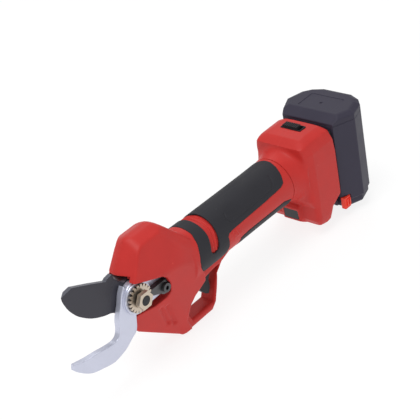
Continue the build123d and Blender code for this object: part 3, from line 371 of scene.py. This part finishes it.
# one look for each material slot of the record
# edge and edge_highlight_rgb set a painted highlight along convex edges
# hollow sets a painted shade in recesses and creases
LOOKS = {
    "housing_red": dict(rgb=(196, 50, 46), rough=0.46, grain=0.28, depth=0.012, mottle=0.04,
                        edge=0.35, edge_highlight_rgb=(226, 92, 84), hollow_shade=0.3),
    "soft_grip": dict(rgb=(46, 46, 51), rough=0.62, grain=0.4, depth=0.03,
                      edge=0.3, edge_highlight_rgb=(84, 84, 90), hollow_shade=0.35),
    "black_plastic": dict(rgb=(30, 30, 33), rough=0.5, depth=0.015, edge=0.3, edge_highlight_rgb=(70, 70, 74)),
    "pack_plastic": dict(rgb=(56, 53, 68), rough=0.48, grain=0.45, mottle=0.05,
                         edge=0.3, edge_highlight_rgb=(104, 101, 118)),
    "release_plastic": dict(rgb=(235, 45, 28), rough=0.38, depth=0.01, mottle=0.04, coat=0.1,
                            edge=0.3, edge_highlight_rgb=(250, 110, 80)),
    "blade_coating": dict(rgb=(52, 51, 60), rough=0.38, metal=0.3, grain=0.25, depth=0.006, mottle=0.06,
                          streak=(1, 0.15, 1), side_rgb=(96, 97, 106)),
    "hook_steel": dict(rgb=(206, 209, 226), rough=0.3, metal=0.55, grain=0.3, depth=0.004, mottle=0.03,
                       streak=(1, 0.1, 1), hollow_shade=0.35),
    "nut_nickel": dict(rgb=(186, 170, 152), rough=0.34, metal=0.85, grain=0.3, depth=0.006,
                       edge=0.4, edge_highlight_rgb=(225, 215, 200), hollow_shade=0.8),
    "dark_screw": dict(rgb=(42, 42, 45), rough=0.36, metal=0.6, depth=0.006, mottle=0.1,
                       edge=0.5, edge_highlight_rgb=(120, 120, 122), hollow_shade=0.5),
    "bright_steel": dict(rgb=(175, 176, 180), rough=0.3, metal=0.9, depth=0.005,
                         edge=0.3, edge_highlight_rgb=(215, 215, 220)),
    "gear_steel": dict(rgb=(120, 121, 126), rough=0.36, metal=0.9, depth=0.006,
                       edge=0.4, edge_highlight_rgb=(180, 180, 184)),
    "frame_aluminium": dict(rgb=(170, 172, 176), rough=0.5, metal=0.8, grain=0.6, depth=0.03, mottle=0.1),
    "motor_steel": dict(rgb=(72, 73, 78), rough=0.42, metal=0.6, depth=0.01,
                        edge=0.4, edge_highlight_rgb=(140, 140, 144)),
    "cell_wrap": dict(rgb=(52, 132, 102), rough=0.34, grain=3.0, depth=0.03, coat=0.2),
    "winding_copper": dict(rgb=(186, 112, 66), rough=0.36, metal=0.85, grain=0.5, depth=0.03,
                           streak=(1, 0.2, 1)),
    "circuit_board": dict(rgb=(24, 82, 48), rough=0.4, grain=0.8, coat=0.2),
    "lead_sleeve": dict(rgb=(40, 40, 42), rough=0.55, grain=0.6),
    "display_glass": dict(rgb=(26, 26, 32), rough=0.12, grain=4.0, depth=0.004, coat=0.5),
}
finish = {name: surface_material(name, **look) for name, look in LOOKS.items()}

slot_of = {part["node"]: part["material_slot"] for part in frame["record"]["subparts"]}
for node_name, node in nodes.items():
    for place in node.material_slots:
        place.material = finish[slot_of[node_name]]

# edge widths in mm of the CAD pieces that stay visible
BEVELLED = {"lock_nut": 0.25, "lock_plate": 0.3, "lock_screw": 0.3, "pivot_bolt": 0.3, "power_slider": 0.2,
            "release_button_left": 0.9, "release_button_right": 0.9, "battery_shoe": 0.4, "trigger": 1.0,
            "display_window": 0.3, "front_frame": 0.4, "housing_screws": 0.2, "sector_gear": 0.1}
BEVEL_ANGLE = math.radians(40)
for node_name, width in BEVELLED.items():
    bevel = nodes[node_name].modifiers.new("edge", "BEVEL")
    bevel.width = width * MM
    bevel.segments = 3
    bevel.limit_method = "ANGLE"
    bevel.angle_limit = BEVEL_ANGLE


def build(name, node_name, body, slot, field, low, high, step, side=0):
    """A piece from a distance field, riding on a CAD body in place of a CAD node."""
    points, quads = surface(field, low, high, step, side)
    mesh = bpy.data.meshes.new(name)
    mesh.vertices.add(len(points))
    mesh.vertices.foreach_set("co", ((points + SHIFT) * MM).astype(np.float32).ravel())
    mesh.loops.add(quads.size)
    mesh.loops.foreach_set("vertex_index", quads.astype(np.int32).ravel())
    mesh.polygons.add(len(quads))
    mesh.polygons.foreach_set("loop_start", np.arange(0, quads.size, 4, dtype=np.int32))
    mesh.polygons.foreach_set("use_smooth", np.ones(len(quads), bool))
    mesh.update(calc_edges=True)
    mesh.validate()
    mesh.set_sharp_from_angle(angle=SHARP_ANGLE)
    piece = bpy.data.objects.new(name, mesh)
    bpy.context.scene.collection.objects.link(piece)
    mesh.materials.append(finish[slot])
    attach(piece, body)
    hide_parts(node_name)


# ---------------------------------------------------------------- grip
GRIP_Z = -5.3                   # height of the grip's axis at the pivot
GRIP_SLOPE = -0.0165
GRIP_START_Y = 56.0
SEAM_Y = 178.0                  # the grip housing ends and the rear housing begins
WAIST_R = 20.85                 # the grip's radius where it is slimmest
DEGREE_MM = math.radians(21.0)  # arc length on the grip for one degree
PAD_GAP = 0.1                   # between a pad and the wall of its recess
PAD_DEPTH = 1.0
PAD_PROUD = 0.3
GAP_DEPTH = 1.3                 # of the bare gap between the pads
GAP_RIB = (1.25, 0.75)          # height and half-width of a rib in it
SHORT_RIB = (0.8, 0.8)
LINE_GROOVE = (0.55, 0.75)      # depth and half-width of the line on a side pad

# pad outlines in (distance along the tool, degrees from the top of the grip)
PAD = [(67.5, -20), (67.5, 30), (66.3, 40), (65.2, 54), (62.6, 69), (60.5, 89), (60.8, 105), (63.5, 120),
       (68.5, 134), (76, 143), (87, 143), (93.5, 130), (95.5, 110), (95.3, 84), (97, 79), (100, 77.3),
       (115, 75.5), (139, 74), (164, 70), (168.8, 65), (171.3, 49), (173.7, 27), (175.2, 7), (175.4, -20)]
GAP = [(78.4, -20), (78.4, 38), (77.8, 54), (76.2, 68), (74.3, 86), (75.3, 93), (78.2, 96.5), (82, 94),
       (83.3, 89), (85, 75), (86.4, 58), (87.3, 38), (87.9, 15), (88.2, -20)]
UNDER_PAD = [(110, 113), (118, 109), (166, 108.5), (176, 119), (176, 230), (110, 230)]
PANEL_LINE = curve([(103, 38), (101.2, 50), (104, 61.5), (112, 63), (150, 61), (157.5, 55), (160.5, 42),
                    (161, 33)])


def on_grip(outline):
    return [(y, degrees * DEGREE_MM) for y, degrees in outline]


PAD_MM, GAP_MM, UNDER_MM, LINE_MM = (on_grip(part) for part in (PAD, GAP, UNDER_PAD, PANEL_LINE))


def grip_centre(y):
    return GRIP_Z + GRIP_SLOPE * y


def from_axis(x, y, z):
    """Distance from the grip's axis."""
    return np.hypot(x, z - grip_centre(y))


def grip_level(x, y, z):
    """Height above the grip's round surface, which widens a little at both ends."""
    return from_axis(x, y, z) - (WAIST_R + 0.9 * np.exp((50 - y) / 14) + 0.9 * np.exp((y - 184) / 12))


def grip_turn(x, y, z):
    """Arc distance from the top of the grip, in mm."""
    return np.degrees(np.arctan2(np.abs(x), z - grip_centre(y))) * DEGREE_MM


def pad_shell(region, level, crown):
    return smax(smax(region, level - crown, 0.7), -PAD_DEPTH - level, 0.2)


def side_pad(x, y, z):
    turn = grip_turn(x, y, z)
    region = smax(polygon(y, turn, PAD_MM), -polygon(y, turn, GAP_MM), 0.8)
    depth, width = LINE_GROOVE
    crown = PAD_PROUD - depth * ridge(polyline(y, turn, LINE_MM), width)
    return pad_shell(region, grip_level(x, y, z), crown)


def under_pad(x, y, z):
    return pad_shell(polygon(y, grip_turn(x, y, z), UNDER_MM), grip_level(x, y, z), PAD_PROUD)


def pad_recesses(y, level, turn):
    """The recesses that the pads lie in, and the bare gap with two raised ribs that lean like it."""
    down = smooth_step((turn / DEGREE_MM - 40) / 50)
    front = 78.4 - 4.1 * down
    width = 9.8 - 0.9 * down
    rib_height, rib_width = GAP_RIB
    rib = sum(ridge(y - front - share * width, rib_width) for share in (0.36, 0.72))
    floor = -GAP_DEPTH + rib_height * rib * smooth_step(-polygon(y, turn, GAP_MM) / 0.8)
    side = smax(polygon(y, turn, PAD_MM) + PAD_GAP, floor - level, 0.3)
    under = smax(polygon(y, turn, UNDER_MM) + PAD_GAP, -PAD_DEPTH - level, 0.3)
    return np.minimum(side, under)


# ---------------------------------------------------------------- grip housing
FACET_BLEND = 1.1               # width over which two facets of the head run into each other
CROWN_BLEND = 4.0               # and the wider round over the top
HEAD_SIDE = [(-5.2, 42.0), (-5.2, 18.8), (-3.4, 14.0), (-3.4, -30.0), (-0.5, -34.5), (39.5, -65.5),
             (48.5, -65.5), (46.3, -59.0), (44.6, -53.5), (46.4, -47.8), (49.0, -41.2), (54.4, -35.3),
             (61.0, -31.5), (66.0, -28.0), (66.0, 42.0)]
# outward planes as (nx, ny, nz, distance on the left side, distance on the right side)
HEAD_FACETS = [
    (0.2616, -0.7565, 0.5994, 15.86, 15.86),    # nose slope
    (0.4750, 0.0, 0.8800, 37.84, 36.10),        # crowned top
    (0.1650, 0.7270, 0.6661, 55.70, 54.60),     # slope from the top down to the grip
    (0.9637, -0.0867, 0.2527, 21.33, 21.33),    # cheek over the pocket
    (0.9587, 0.0179, 0.2843, 23.58, 23.58),     # upper side
    (0.7830, 0.4065, 0.4707, 41.40, 41.40),     # shoulder towards the grip
    (0.9670, 0.1490, 0.2080, 28.50, 28.50),     # side towards the grip
    (0.9815, -0.0457, -0.1860, 18.94, 18.94),   # lower side
    (0.9490, -0.2018, -0.2417, 14.77, 19.30),   # lower front
    (0.7990, -0.4815, 0.3603, 60.0, 13.89),     # the nose's corner, cut away on the right only
]
CROWN_NZ = 0.6                  # facets that look up more than this take the wider round
SCALLOPS = [[(20.0, -24.8), (26.2, -43.0)], [(25.2, -26.0), (32.0, -47.1)]]
SCALLOP_DEPTH = 1.5
SCALLOP_WIDTH = 1.8
SCALLOP_X = 8                   # they are pressed into the sides only
GUARD_OUT = [(36, -50), (39.5, -64.5), (43, -67), (76, -67), (81.5, -62), (85.5, -52), (89.5, -40),
             (96, -33), (107, -29.5), (107, -20), (60, -20), (40, -30)]
GUARD_HOLE = [(93, -33.5), (87, -33.5), (79, -34.5), (70, -36), (64, -38), (59, -41.5), (53.5, -47.5),
              (51, -51), (50.8, -56.0), (53, -60.2), (78.5, -60.5), (80.5, -56), (84.0, -47.5),
              (88.5, -39.5)]
GUARD_HALF = 7.8                # half the guard's thickness
FAR_X = 60                      # outside the tool

LOCK_SCREW = (24.5, -6.0)
SCREW_SITES = [(11.0, 31.0), (35.0, 30.0), (4.0, -27.0), (39.0, -57.5), (98.0, -28.5)]
SCREW_HEAD_R = 3.1
SCREW_HEAD_X = -4.5             # depth of the screw heads' bores on the right side
BOLT_HEAD_R = 7.2
BOLT_HEAD_X = -10
ROOM_X = (-10.3, 7.5)           # the room for the hubs, the sector and the frame
FRAME_ROOM_X = (-14.6, -10.2)
HUB_ROOM_R = 18.9
SECTOR_ROOM_R = 24.5
DRIVE_ROOM_R = 16.2
DRIVE_ROOM_Y = (24.0, 119.0)
DRIVE_TILT = math.radians(-4.2)
BOARD_ROOM_R = 16.6
BOARD_ROOM_Y = (112.0, SEAM_Y + 1)
POCKET_X = (7.5, 17.5)          # the pocket's wide floor under its rim
POCKET = [(-30, 14.7), (-3.1, 14.7), (6.9, 11.3), (21.1, 6.7), (26.0, 2.4), (28.5, -4.2), (29.1, -10.3),
          (27.9, -13.7), (24.2, -16.0), (14.9, -18.1), (-3.7, -16.6), (-30, -16.6)]
POCKET_FLOOR = [(0, 14.2), (27, 4.0), (27, -6.0), (0, -6.0)]
BLADE_OPENING = [(-30, 18.8), (0, 18.8), (0, -24.8), (-30, -34)]
HOOK_OPENING = [(-30, 18.8), (0, 18.8), (0, -14), (-3, -16.5), (-4, -27.2), (-30, -46)]
TRIGGER_ROOM = [(57, -18), (92, -18), (92, -36), (79, -38), (70, -39.5), (57, -44)]


def head_field(x, y, z):
    head = polygon(y, z, HEAD_SIDE)
    for nx, ny, nz, left, right in HEAD_FACETS:
        level = ny * y + nz * z
        blend = CROWN_BLEND if nz > CROWN_NZ else FACET_BLEND
        head = smax(head, nx * x + level - left, blend)
        head = smax(head, -nx * x + level - right, blend)
    for line in SCALLOPS:
        groove = ridge(polyline(y, z, line), SCALLOP_WIDTH)
        head = head + SCALLOP_DEPTH * groove * (np.abs(x) > SCALLOP_X)
    return head


def guard_field(x, y, z):
    loop = smax(polygon(y, z, GUARD_OUT), -polygon(y, z, GUARD_HOLE), 1.2)
    return smax(loop, np.abs(x) - GUARD_HALF, 3.0)


def housing_outer(x, y, z):
    level = grip_level(x, y, z)
    turn = grip_turn(x, y, z)
    grip = smax(level, span(y, GRIP_START_Y, SEAM_Y), 0.8)
    shape = smin(smin(head_field(x, y, z), guard_field(x, y, z), 2.5), grip, 1.6)
    shape = smax(shape, -pad_recesses(y, level, turn), 0.4)
    # short ribs on the red beside the pads' corner
    height, width = SHORT_RIB
    for k in range(3):
        line = [(100.5 + 3.6 * k, 82 * DEGREE_MM), (103.0 + 3.6 * k, 97 * DEGREE_MM)]
        shape = shape - height * ridge(polyline(y, turn, line), width) * (level > -3)
    return shape


def drive_room(x, y, z):
    """A cylinder about the tilted drive axis."""
    along = y * math.cos(DRIVE_TILT) + z * math.sin(DRIVE_TILT)
    across = z * math.cos(DRIVE_TILT) - y * math.sin(DRIVE_TILT)
    return prism(np.hypot(x, across) - DRIVE_ROOM_R, along, *DRIVE_ROOM_Y)


def housing_cuts(x, y, z):
    sweep = [(0, 0)] + [polar(SECTOR_ROOM_R, degrees) for degrees in range(-100, 71, 10)]
    mechanism = [
        rod_x(x, y, z, (0, 0), HUB_ROOM_R, *ROOM_X),
        prism(polygon(y, z, sweep), x, *ROOM_X),
        box(x, y, z, ROOM_X, (0, 36), (-14.6, 13.6)),
        box(x, y, z, FRAME_ROOM_X, (-12, 36), (-12.6, 10.4)),
    ]
    mouth = [
        prism(polygon(y, z, BLADE_OPENING), x, 2.7, 7.5),
        prism(polygon(y, z, HOOK_OPENING), x, 7.1, 13.0),
        box(x, y, z, (-14.6, 13.0), (-30, -3.6), (-15, 18.8)),
        box(x, y, z, ROOM_X, (-30, -2.4), (-18.9, 18.8)),
    ]
    rear = [
        drive_room(x, y, z),
        prism(from_axis(x, 150.0, z) - BOARD_ROOM_R, y, *BOARD_ROOM_Y),
        prism(polygon(y, z, TRIGGER_ROOM), x, -4.6, 4.6),
    ]
    return union(mechanism + mouth + rear)


def pocket_field(x, y, z):
    """The open pocket in the left side: a wide floor for the hook's tail under a closer rim."""
    rim = prism(polygon(y, z, POCKET), x, POCKET_X[0], FAR_X)
    boss = rod_x(x, y, z, LOCK_SCREW, 8.0, *POCKET_X)
    return union([rim, boss, prism(polygon(y, z, POCKET_FLOOR), x, *POCKET_X)])


def housing_half(side):
    def field(x, y, z):
        shape = smax(housing_outer(x, y, z), -housing_cuts(x, y, z), 0.4)
        if side > 0:
            return smax(shape, -pocket_field(x, y, z), 0.9)
        shape = smax(shape, -rod_x(x, y, z, (0, 0), BOLT_HEAD_R, -FAR_X, BOLT_HEAD_X), 0.6)
        for site in SCREW_SITES:
            shape = smax(shape, -rod_x(x, y, z, site, SCREW_HEAD_R, -FAR_X, SCREW_HEAD_X), 0.4)
        return shape
    return field


# ---------------------------------------------------------------- rear housing
REAR_SIDE = [(193.0, -32.0), (196.0, -39.0), (196.0, -52.0), (199.0, -57.5), (208.0, -60.5),
             (214.0, -59.0), (217.5, -48.5), (229.5, -41.5), (229.5, 19.5), (224.0, 24.5), (207.0, 26.0),
             (198.0, 24.0), (190.5, 19.0), (191.5, 6.0)]
# half outlines seen from above and from the front, closed beyond the mid-plane
REAR_PLAN = [(-60, 186.0), (0, 186.0), (20.0, 187.5), (24.5, 191.0), (28.3, 200.0), (29.5, 229.5),
             (-60, 229.5)]
REAR_FRONT = [(-60, 26.0), (10.0, 26.0), (17.0, 24.6), (24.0, 20.4), (28.5, 12.0), (30.0, 0.0),
              (30.0, -34.0), (29.0, -50.0), (27.0, -59.0), (20.0, -62.0), (-60, -62.0)]
BUMP = [(194.0, -39.5), (192.6, -42.0), (194.0, -55.0), (197.0, -57.2), (203.0, -58.5), (203.0, -34.0)]
BUMP_HALF = 9.6
REAR_WALL = 2.5
COLLAR_END_Y = 192.0
SWITCH_Y = 213.0
SWITCH_SLOT_HALF = 4.2
REAR_SCREW_SITES = [(209.0, -50.0), (222.0, 14.0)]
REAR_SCREW_HEAD_X = -6.5


def rear_box(x, y, z):
    wide = np.abs(x)
    plan = smax(polygon(y, z, REAR_SIDE), polygon(wide, y, REAR_PLAN), 3.5)
    return smax(plan, polygon(wide, z, REAR_FRONT), 4.5)


def rear_outer(x, y, z, block):
    flare = from_axis(x, y, z) - (21.45 + 0.018 * np.clip(y - 177.0, 0, None) ** 2)
    shape = smin(block, prism(flare * 0.8, y, SEAM_Y, COLLAR_END_Y), 3.0)
    return smin(shape, smax(polygon(y, z, BUMP), np.abs(x) - BUMP_HALF, 2.0), 2.5)


def rear_half(side):
    def field(x, y, z):
        block = rear_box(x, y, z)
        cuts = [
            prism(block + REAR_WALL, y, 192.0, 226.5),
            # through the collar, at the shoe and behind the display
            prism(from_axis(x, SEAM_Y, z) - BOARD_ROOM_R, y, 170.0, 196.0),
            box(x, y, z, (-24.0, 24.0), (215.0, 240.0), (-42.4, 17.0)),
            box(x, y, z, (-8.8, 8.8), (195.5, 206.0), (-53.6, -43.4)),
        ]
        shape = smax(rear_outer(x, y, z, block), -union(cuts), 0.4)
        window = smax(span(x, -7.5, 7.5), span(z, -53.4, -44.1), 1.6)
        shape = smax(shape, -prism(window, y, 186.0, 200.0), 0.5)
        slot_y = (SWITCH_Y - SWITCH_SLOT_HALF, SWITCH_Y + SWITCH_SLOT_HALF)
        shape = smax(shape, -box(x, y, z, (-10.0, 10.0), slot_y, (15.0, 40.0)), 0.5)
        if side < 0:
            for site in REAR_SCREW_SITES:
                boss = np.maximum(rod_x(x, y, z, site, 3.9, -29.0, -1.0), block)
                head = rod_x(x, y, z, site, 2.9, -FAR_X, REAR_SCREW_HEAD_X)
                shape = smax(np.minimum(shape, boss), -head, 0.3)
        return np.maximum(shape, SEAM_Y + 0.05 - y)
    return field


# ---------------------------------------------------------------- battery pack
# half outline seen from above, closed beyond the mid-plane
PACK_PLAN = [(-60, 231.6), (25.8, 231.6), (34.5, 251.0), (30.0, 266.5), (24.0, 273.0), (14.0, 277.5),
             (-60, 277.5)]
PACK_WALL = 1.5
PACK_BOTTOM_Z = -61.5
PACK_FOOT_Z = -53.0             # the pack is a little smaller below this line
FOOT_STEP = 1.5
CASE_TOP_Z = 19.95              # the case ends just under the lid
CAP_BOTTOM_Z = 20.0
LID_TOP = 27.4
LID_SLOPE = 2.0                 # of the lid's sides
LID_FALL = 0.6                  # of its front band, down towards the tool
PACK_SCREW = (24.5, 248.0)
CONTACTS_X = (-8.0, 0.0, 8.0)
PACK_FRONT_Y = 228.0            # in front of the pack
BELOW_Z = -80.0                 # and under it


def pack_section(x, y):
    return polygon(np.abs(x), y, PACK_PLAN)


def from_pack_screw(x, y):
    return np.hypot(np.abs(x) - PACK_SCREW[0], y - PACK_SCREW[1])


def pack_solids(wide, y, z):
    """What stands inside the pack: the contact block, the rails, the button guides and the screw posts."""
    return [
        box(wide, y, z, (-1.0, 17.0), (PACK_FRONT_Y, 251.0), (BELOW_Z, -52.0)),
        box(wide, y, z, (17.0, 25.0), (PACK_FRONT_Y, 238.0), (BELOW_Z, 12.4)),
        box(wide, y, z, (20.5, 40.0), (PACK_FRONT_Y, 241.1), (-62.4, -46.9)),
        prism(from_pack_screw(wide, y) - 3.5, z, BELOW_Z, 12.0),
    ]


def pack_cuts(wide, y, z):
    """The T-shaped rail grooves, the button rooms, the contact room and the screw bores."""
    return [
        box(wide, y, z, (19.1, 21.9), (PACK_FRONT_Y, 234.0), (-70.0, 11.0)),
        box(wide, y, z, (17.1, 23.9), (233.8, 236.6), (-70.0, 11.0)),
        box(wide, y, z, (22.0, 40.0), (PACK_FRONT_Y, 239.6), (-59.8, -48.4)),
        box(wide, y, z, (-1.0, 14.6), (PACK_FRONT_Y, 248.6), (BELOW_Z, -55.2)),
        prism(from_pack_screw(wide, y) - 2.7, z, BELOW_Z, 10.0),
    ]


def pack_case(x, y, z):
    wide = np.abs(x)
    # a step round the foot of the pack, which the wall follows
    section = pack_section(x, y) + FOOT_STEP * smooth_step((PACK_FOOT_Z - z) / 1.6)
    shape = smax(section, PACK_BOTTOM_Z - z, 4.0)
    shape = np.maximum(shape, z - CASE_TOP_Z)
    room = prism(section + PACK_WALL, z, -58.5, 30.0)
    room = np.maximum(room, -union(pack_solids(wide, y, z)))
    contacts = [box(x, y, z, (x0 - 0.9, x0 + 0.9), (236.4, 243.6), (-60.0, -51.0)) for x0 in CONTACTS_X]
    return smax(shape, -union([room] + pack_cuts(wide, y, z) + contacts), 0.4)


def pack_cap(x, y, z):
    section = pack_section(x, y)
    sides = (section + LID_SLOPE * (z - LID_TOP) + 5.0) / math.hypot(1, LID_SLOPE)
    shape = smax(smax(section, sides, 1.0), z - LID_TOP, 0.8)
    band = (z - LID_TOP + LID_FALL * (240.5 - y)) / math.hypot(1, LID_FALL)
    shape = smax(shape, band, 0.5)
    shape = np.maximum(shape, CAP_BOTTOM_Z - z)
    panel = smax(span(x, -17.0, 17.0), span(y, 243.0, 264.0), 1.5)
    shape = smax(shape, -np.maximum(panel, LID_TOP - 0.5 - z), 0.3)
    dot = np.hypot(x, y - 253.0)
    shape = smax(shape, -np.maximum(dot - 1.2, LID_TOP - 1.3 - z), 0.4)
    shape = np.maximum(shape, -prism(section + 7.0, z, 19.0, LID_TOP - 2.4))
    # bosses for the screws that come up from below
    away = from_pack_screw(x, y)
    shape = np.minimum(shape, prism(away - 2.8, z, 12.0, 21.0))
    return np.maximum(shape, -prism(away - 1.3, z, 11.0, 21.0))


# ---------------------------------------------------------------- jaws
EDGE = curve([(-21.0, -2.1), (-29.2, 0.4), (-39.7, 5.9), (-48.8, 13.8), (-53.1, 19.4), (-56.4, 25.3),
              (-58.9, 32.9), (-59.2, 37.3)])
BLADE = EDGE + [(-48.3, 38.7), (-33.0, 31.4), (-19.0, 24.3), (-17.4, 25.4), (-12.2, 26.2), (-11.2, 21.6),
                (-4.0, 13.4), (-4.0, -13.4), (-15.0, -6.0)]
BLADE_X = (3.5, 7.48)
BLADE_HUB_R = 14.0
BLADE_BORE_R = 4.05
SECTOR_SCREW_R = 1.5
SECTOR_SCREW_CIRCLE = 9.0
BEVEL_WIDTH = 5.2               # how far back from the edge the blade is ground
BEVEL_SLOPE = 0.66
HUB_FACE_R = 21.6               # outside this the blade is thinned, so that only its hub rubs
FACE_RELIEF = 0.35
HOOK_OUT = curve([(-4.3, -15.9), (-6.8, -25.5), (-13.1, -29.6), (-20.9, -33.9), (-29.7, -36.0),
                  (-35.5, -36.2), (-45.1, -33.8), (-51.8, -31.8), (-57.4, -29.0), (-65.5, -22.3),
                  (-68.5, -18.5)], 4)
HOOK_IN = curve([(-67.2, -14.4), (-55.4, -17.3), (-45.6, -18.9), (-36.5, -20.8), (-29.5, -21.6),
                 (-25.0, -20.2), (-22.4, -15.5), (-21.2, -9.0), (-18.8, -3.2), (-15.6, 2.7), (-12.7, 9.7),
                 (-9.0, 14.9)], 4)
HOOK_ARM = [(0, -13.2), (22.5, -13.2), (22.5, 1.6), (0, 13.0)]
HOOK_X = (7.56, 12.5)
HOOK_HUB_R = 13.2
HOOK_BOSS_R = 13.0
HOOK_BOSS_X = 15.0
HOOK_TAIL_R = 7.4
BOLT_R = 4.0
LOCK_HOLE_R = 2.0


def blade_field(x, y, z):
    outline = np.minimum(polygon(y, z, BLADE), round_x(y, z, 0, 0, BLADE_HUB_R))
    ground = np.clip(BEVEL_WIDTH - polyline(y, z, EDGE), 0, None) * BEVEL_SLOPE
    thin = FACE_RELIEF * smooth_step((np.hypot(y, z) - HUB_FACE_R) / 0.8)
    shape = smax(outline, BLADE_X[0] + ground - x, 0.15)
    shape = smax(shape, x - BLADE_X[1] + thin, 0.3)
    holes = [round_x(y, z, 0, 0, BLADE_BORE_R)]
    for degrees in (90, 210, 330):
        holes.append(round_x(y, z, *polar(SECTOR_SCREW_CIRCLE, degrees), SECTOR_SCREW_R))
    return np.maximum(shape, -union(holes))


def hook_field(x, y, z):
    jaw = polygon(y, z, [(0, 0)] + HOOK_OUT + HOOK_IN)
    hub = round_x(y, z, 0, 0, HOOK_HUB_R)
    tail = round_x(y, z, *LOCK_SCREW, HOOK_TAIL_R)
    plate = union([jaw, hub, polygon(y, z, HOOK_ARM), tail])
    # the plate gets thinner towards the hook's point
    tip = np.clip(-(y + 61.8) * 0.99 + (z + 20.0) * 0.13, 0, None)
    shape = smax(plate, x - HOOK_X[1] + 0.35 * tip, 0.6)
    shape = smax(shape, HOOK_X[0] - x, 0.4)
    boss = smax(rod_x(x, y, z, (0, 0), HOOK_BOSS_R, 9.0, HOOK_BOSS_X), x - HOOK_BOSS_X, 1.0)
    shape = smin(shape, boss, 0.5)
    holes = np.minimum(round_x(y, z, 0, 0, BOLT_R), round_x(y, z, *LOCK_SCREW, LOCK_HOLE_R))
    return np.maximum(shape, -holes)


# ---------------------------------------------------------------- build everything
SHELL_STEP = 0.65
PAD_STEP = 0.5
LID_STEP = 0.4
BLADE_STEP = 0.35
HOOK_STEP = 0.4


def half_box(side, reach, low, high):
    """The corners of a box on one side of the mid-plane, from (y, z) limits."""
    xs = (0, reach) if side > 0 else (-reach, 0)
    return (xs[0], *low), (xs[1], *high)


for side, hand in ((1, "left"), (-1, "right")):
    build(f"grip_shell_{hand}", f"{hand}_housing", "body", "housing_red", housing_half(side),
          *half_box(side, 22, (-6, -68), (179, 43)), SHELL_STEP, side)
    build(f"grip_overmould_{hand}", f"{hand}_grip_pad", "body", "soft_grip", side_pad,
          *half_box(side, 22, (59, -34), (177, 17)), PAD_STEP, side)
    build(f"rear_shell_{hand}", f"rear_housing_{hand}", "body", "housing_red", rear_half(side),
          *half_box(side, 33, (178, -62), (230, 28)), SHELL_STEP, side)
build("grip_under_pad", "under_grip_pad", "body", "soft_grip", under_pad,
      (-22, 109, -31), (22, 177, -9), PAD_STEP)
build("pack_shell", "battery_case", "battery", "pack_plastic", pack_case,
      (-36, 231, -63), (36, 279, 21), SHELL_STEP)
build("pack_lid", "battery_top_cap", "battery", "pack_plastic", pack_cap,
      (-36, 231, 12), (36, 279, 28), LID_STEP)
build("ground_blade", "cutting_blade", "blade", "blade_coating", blade_field,
      (3, -61, -15), (8, 15, 40), BLADE_STEP)
build("forged_hook", "fixed_hook", "body", "hook_steel", hook_field,
      (7, -72, -38), (16, 33, 16), HOOK_STEP)


# ---------------------------------------------------------------- floor, light and camera, in metres
FLOOR_SIZE = 12.0
FLOOR_Z = -0.001
FLOOR_GLOW = 0.84               # keeps the paper pale under the soft light
WHITE = (1, 1, 1, 1)
MIDDLE = (0.0, 0.0, 0.05)       # what the lights look at
WORLD_STRENGTH = 0.5
AZIMUTH, ELEVATION, ROLL = math.radians(46.30), math.radians(31.79), math.radians(-11.72)
TARGET = np.array([-3.13, 104.5, 7.63])     # mm, what the camera looks at
DISTANCE = 932.1                # mm
SENSOR_WIDTH = 36
FOCAL_RATIO = 20 / 7            # focal length over the picture's width


def paper_floor():
    paper = surface_material("floor_paper", (120, 120, 120), 0.8, grain=2.0, depth=0.01, mottle=0.005)
    shader = paper.node_tree.nodes["Principled BSDF"]
    shader.inputs["Emission Color"].default_value = WHITE
    shader.inputs["Emission Strength"].default_value = FLOOR_GLOW
    shader.inputs["Specular IOR Level"].default_value = 0.1
    half = FLOOR_SIZE / 2
    corners = [(x, y, FLOOR_Z) for x, y in ((-half, -half), (half, -half), (half, half), (-half, half))]
    mesh = bpy.data.meshes.new("floor")
    mesh.from_pydata(corners, [], [(0, 1, 2, 3)])
    mesh.materials.append(paper)
    floor = bpy.data.objects.new("floor", mesh)
    bpy.context.scene.collection.objects.link(floor)


def area_light(name, place, size, power):
    data = bpy.data.lights.new(name, "AREA")
    data.shape = "DISK"
    data.size = size
    data.energy = power
    light = bpy.data.objects.new(name, data)
    light.location = place
    light.rotation_euler = (Vector(MIDDLE) - Vector(place)).to_track_quat("-Z", "Y").to_euler()
    bpy.context.scene.collection.objects.link(light)


def white_world():
    world = bpy.data.worlds.new("studio")
    world.use_nodes = True
    background = world.node_tree.nodes["Background"]
    background.inputs["Color"].default_value = WHITE
    background.inputs["Strength"].default_value = WORLD_STRENGTH
    bpy.context.scene.world = world


def add_camera():
    """A camera that looks at the target from its azimuth and elevation, rolled about its own axis."""
    cos_a, sin_a = math.cos(AZIMUTH), math.sin(AZIMUTH)
    back = Vector((sin_a * math.cos(ELEVATION), -cos_a * math.cos(ELEVATION), math.sin(ELEVATION)))
    right = Vector((cos_a, sin_a, 0))
    up = back.cross(right)
    right_rolled = right * math.cos(ROLL) + up * math.sin(ROLL)
    up_rolled = up * math.cos(ROLL) - right * math.sin(ROLL)
    data = bpy.data.cameras.new("camera")
    data.lens = FOCAL_RATIO * SENSOR_WIDTH
    data.sensor_width = SENSOR_WIDTH
    camera = bpy.data.objects.new("camera", data)
    turn = Matrix((right_rolled, up_rolled, back)).transposed().to_4x4()
    place = Vector((TARGET + SHIFT) * MM) + back * DISTANCE * MM
    camera.matrix_world = Matrix.Translation(place) @ turn
    bpy.context.scene.collection.objects.link(camera)
    bpy.context.scene.camera = camera


paper_floor()
area_light("key", (0.1, -0.5, 1.7), 0.9, 15)
area_light("fill", (1.4, 0.5, 0.8), 1.4, 1)
area_light("back", (-0.9, 1.0, 1.4), 1.0, 4)
white_world()
bpy.context.scene.view_settings.view_transform = "Standard"
add_camera()
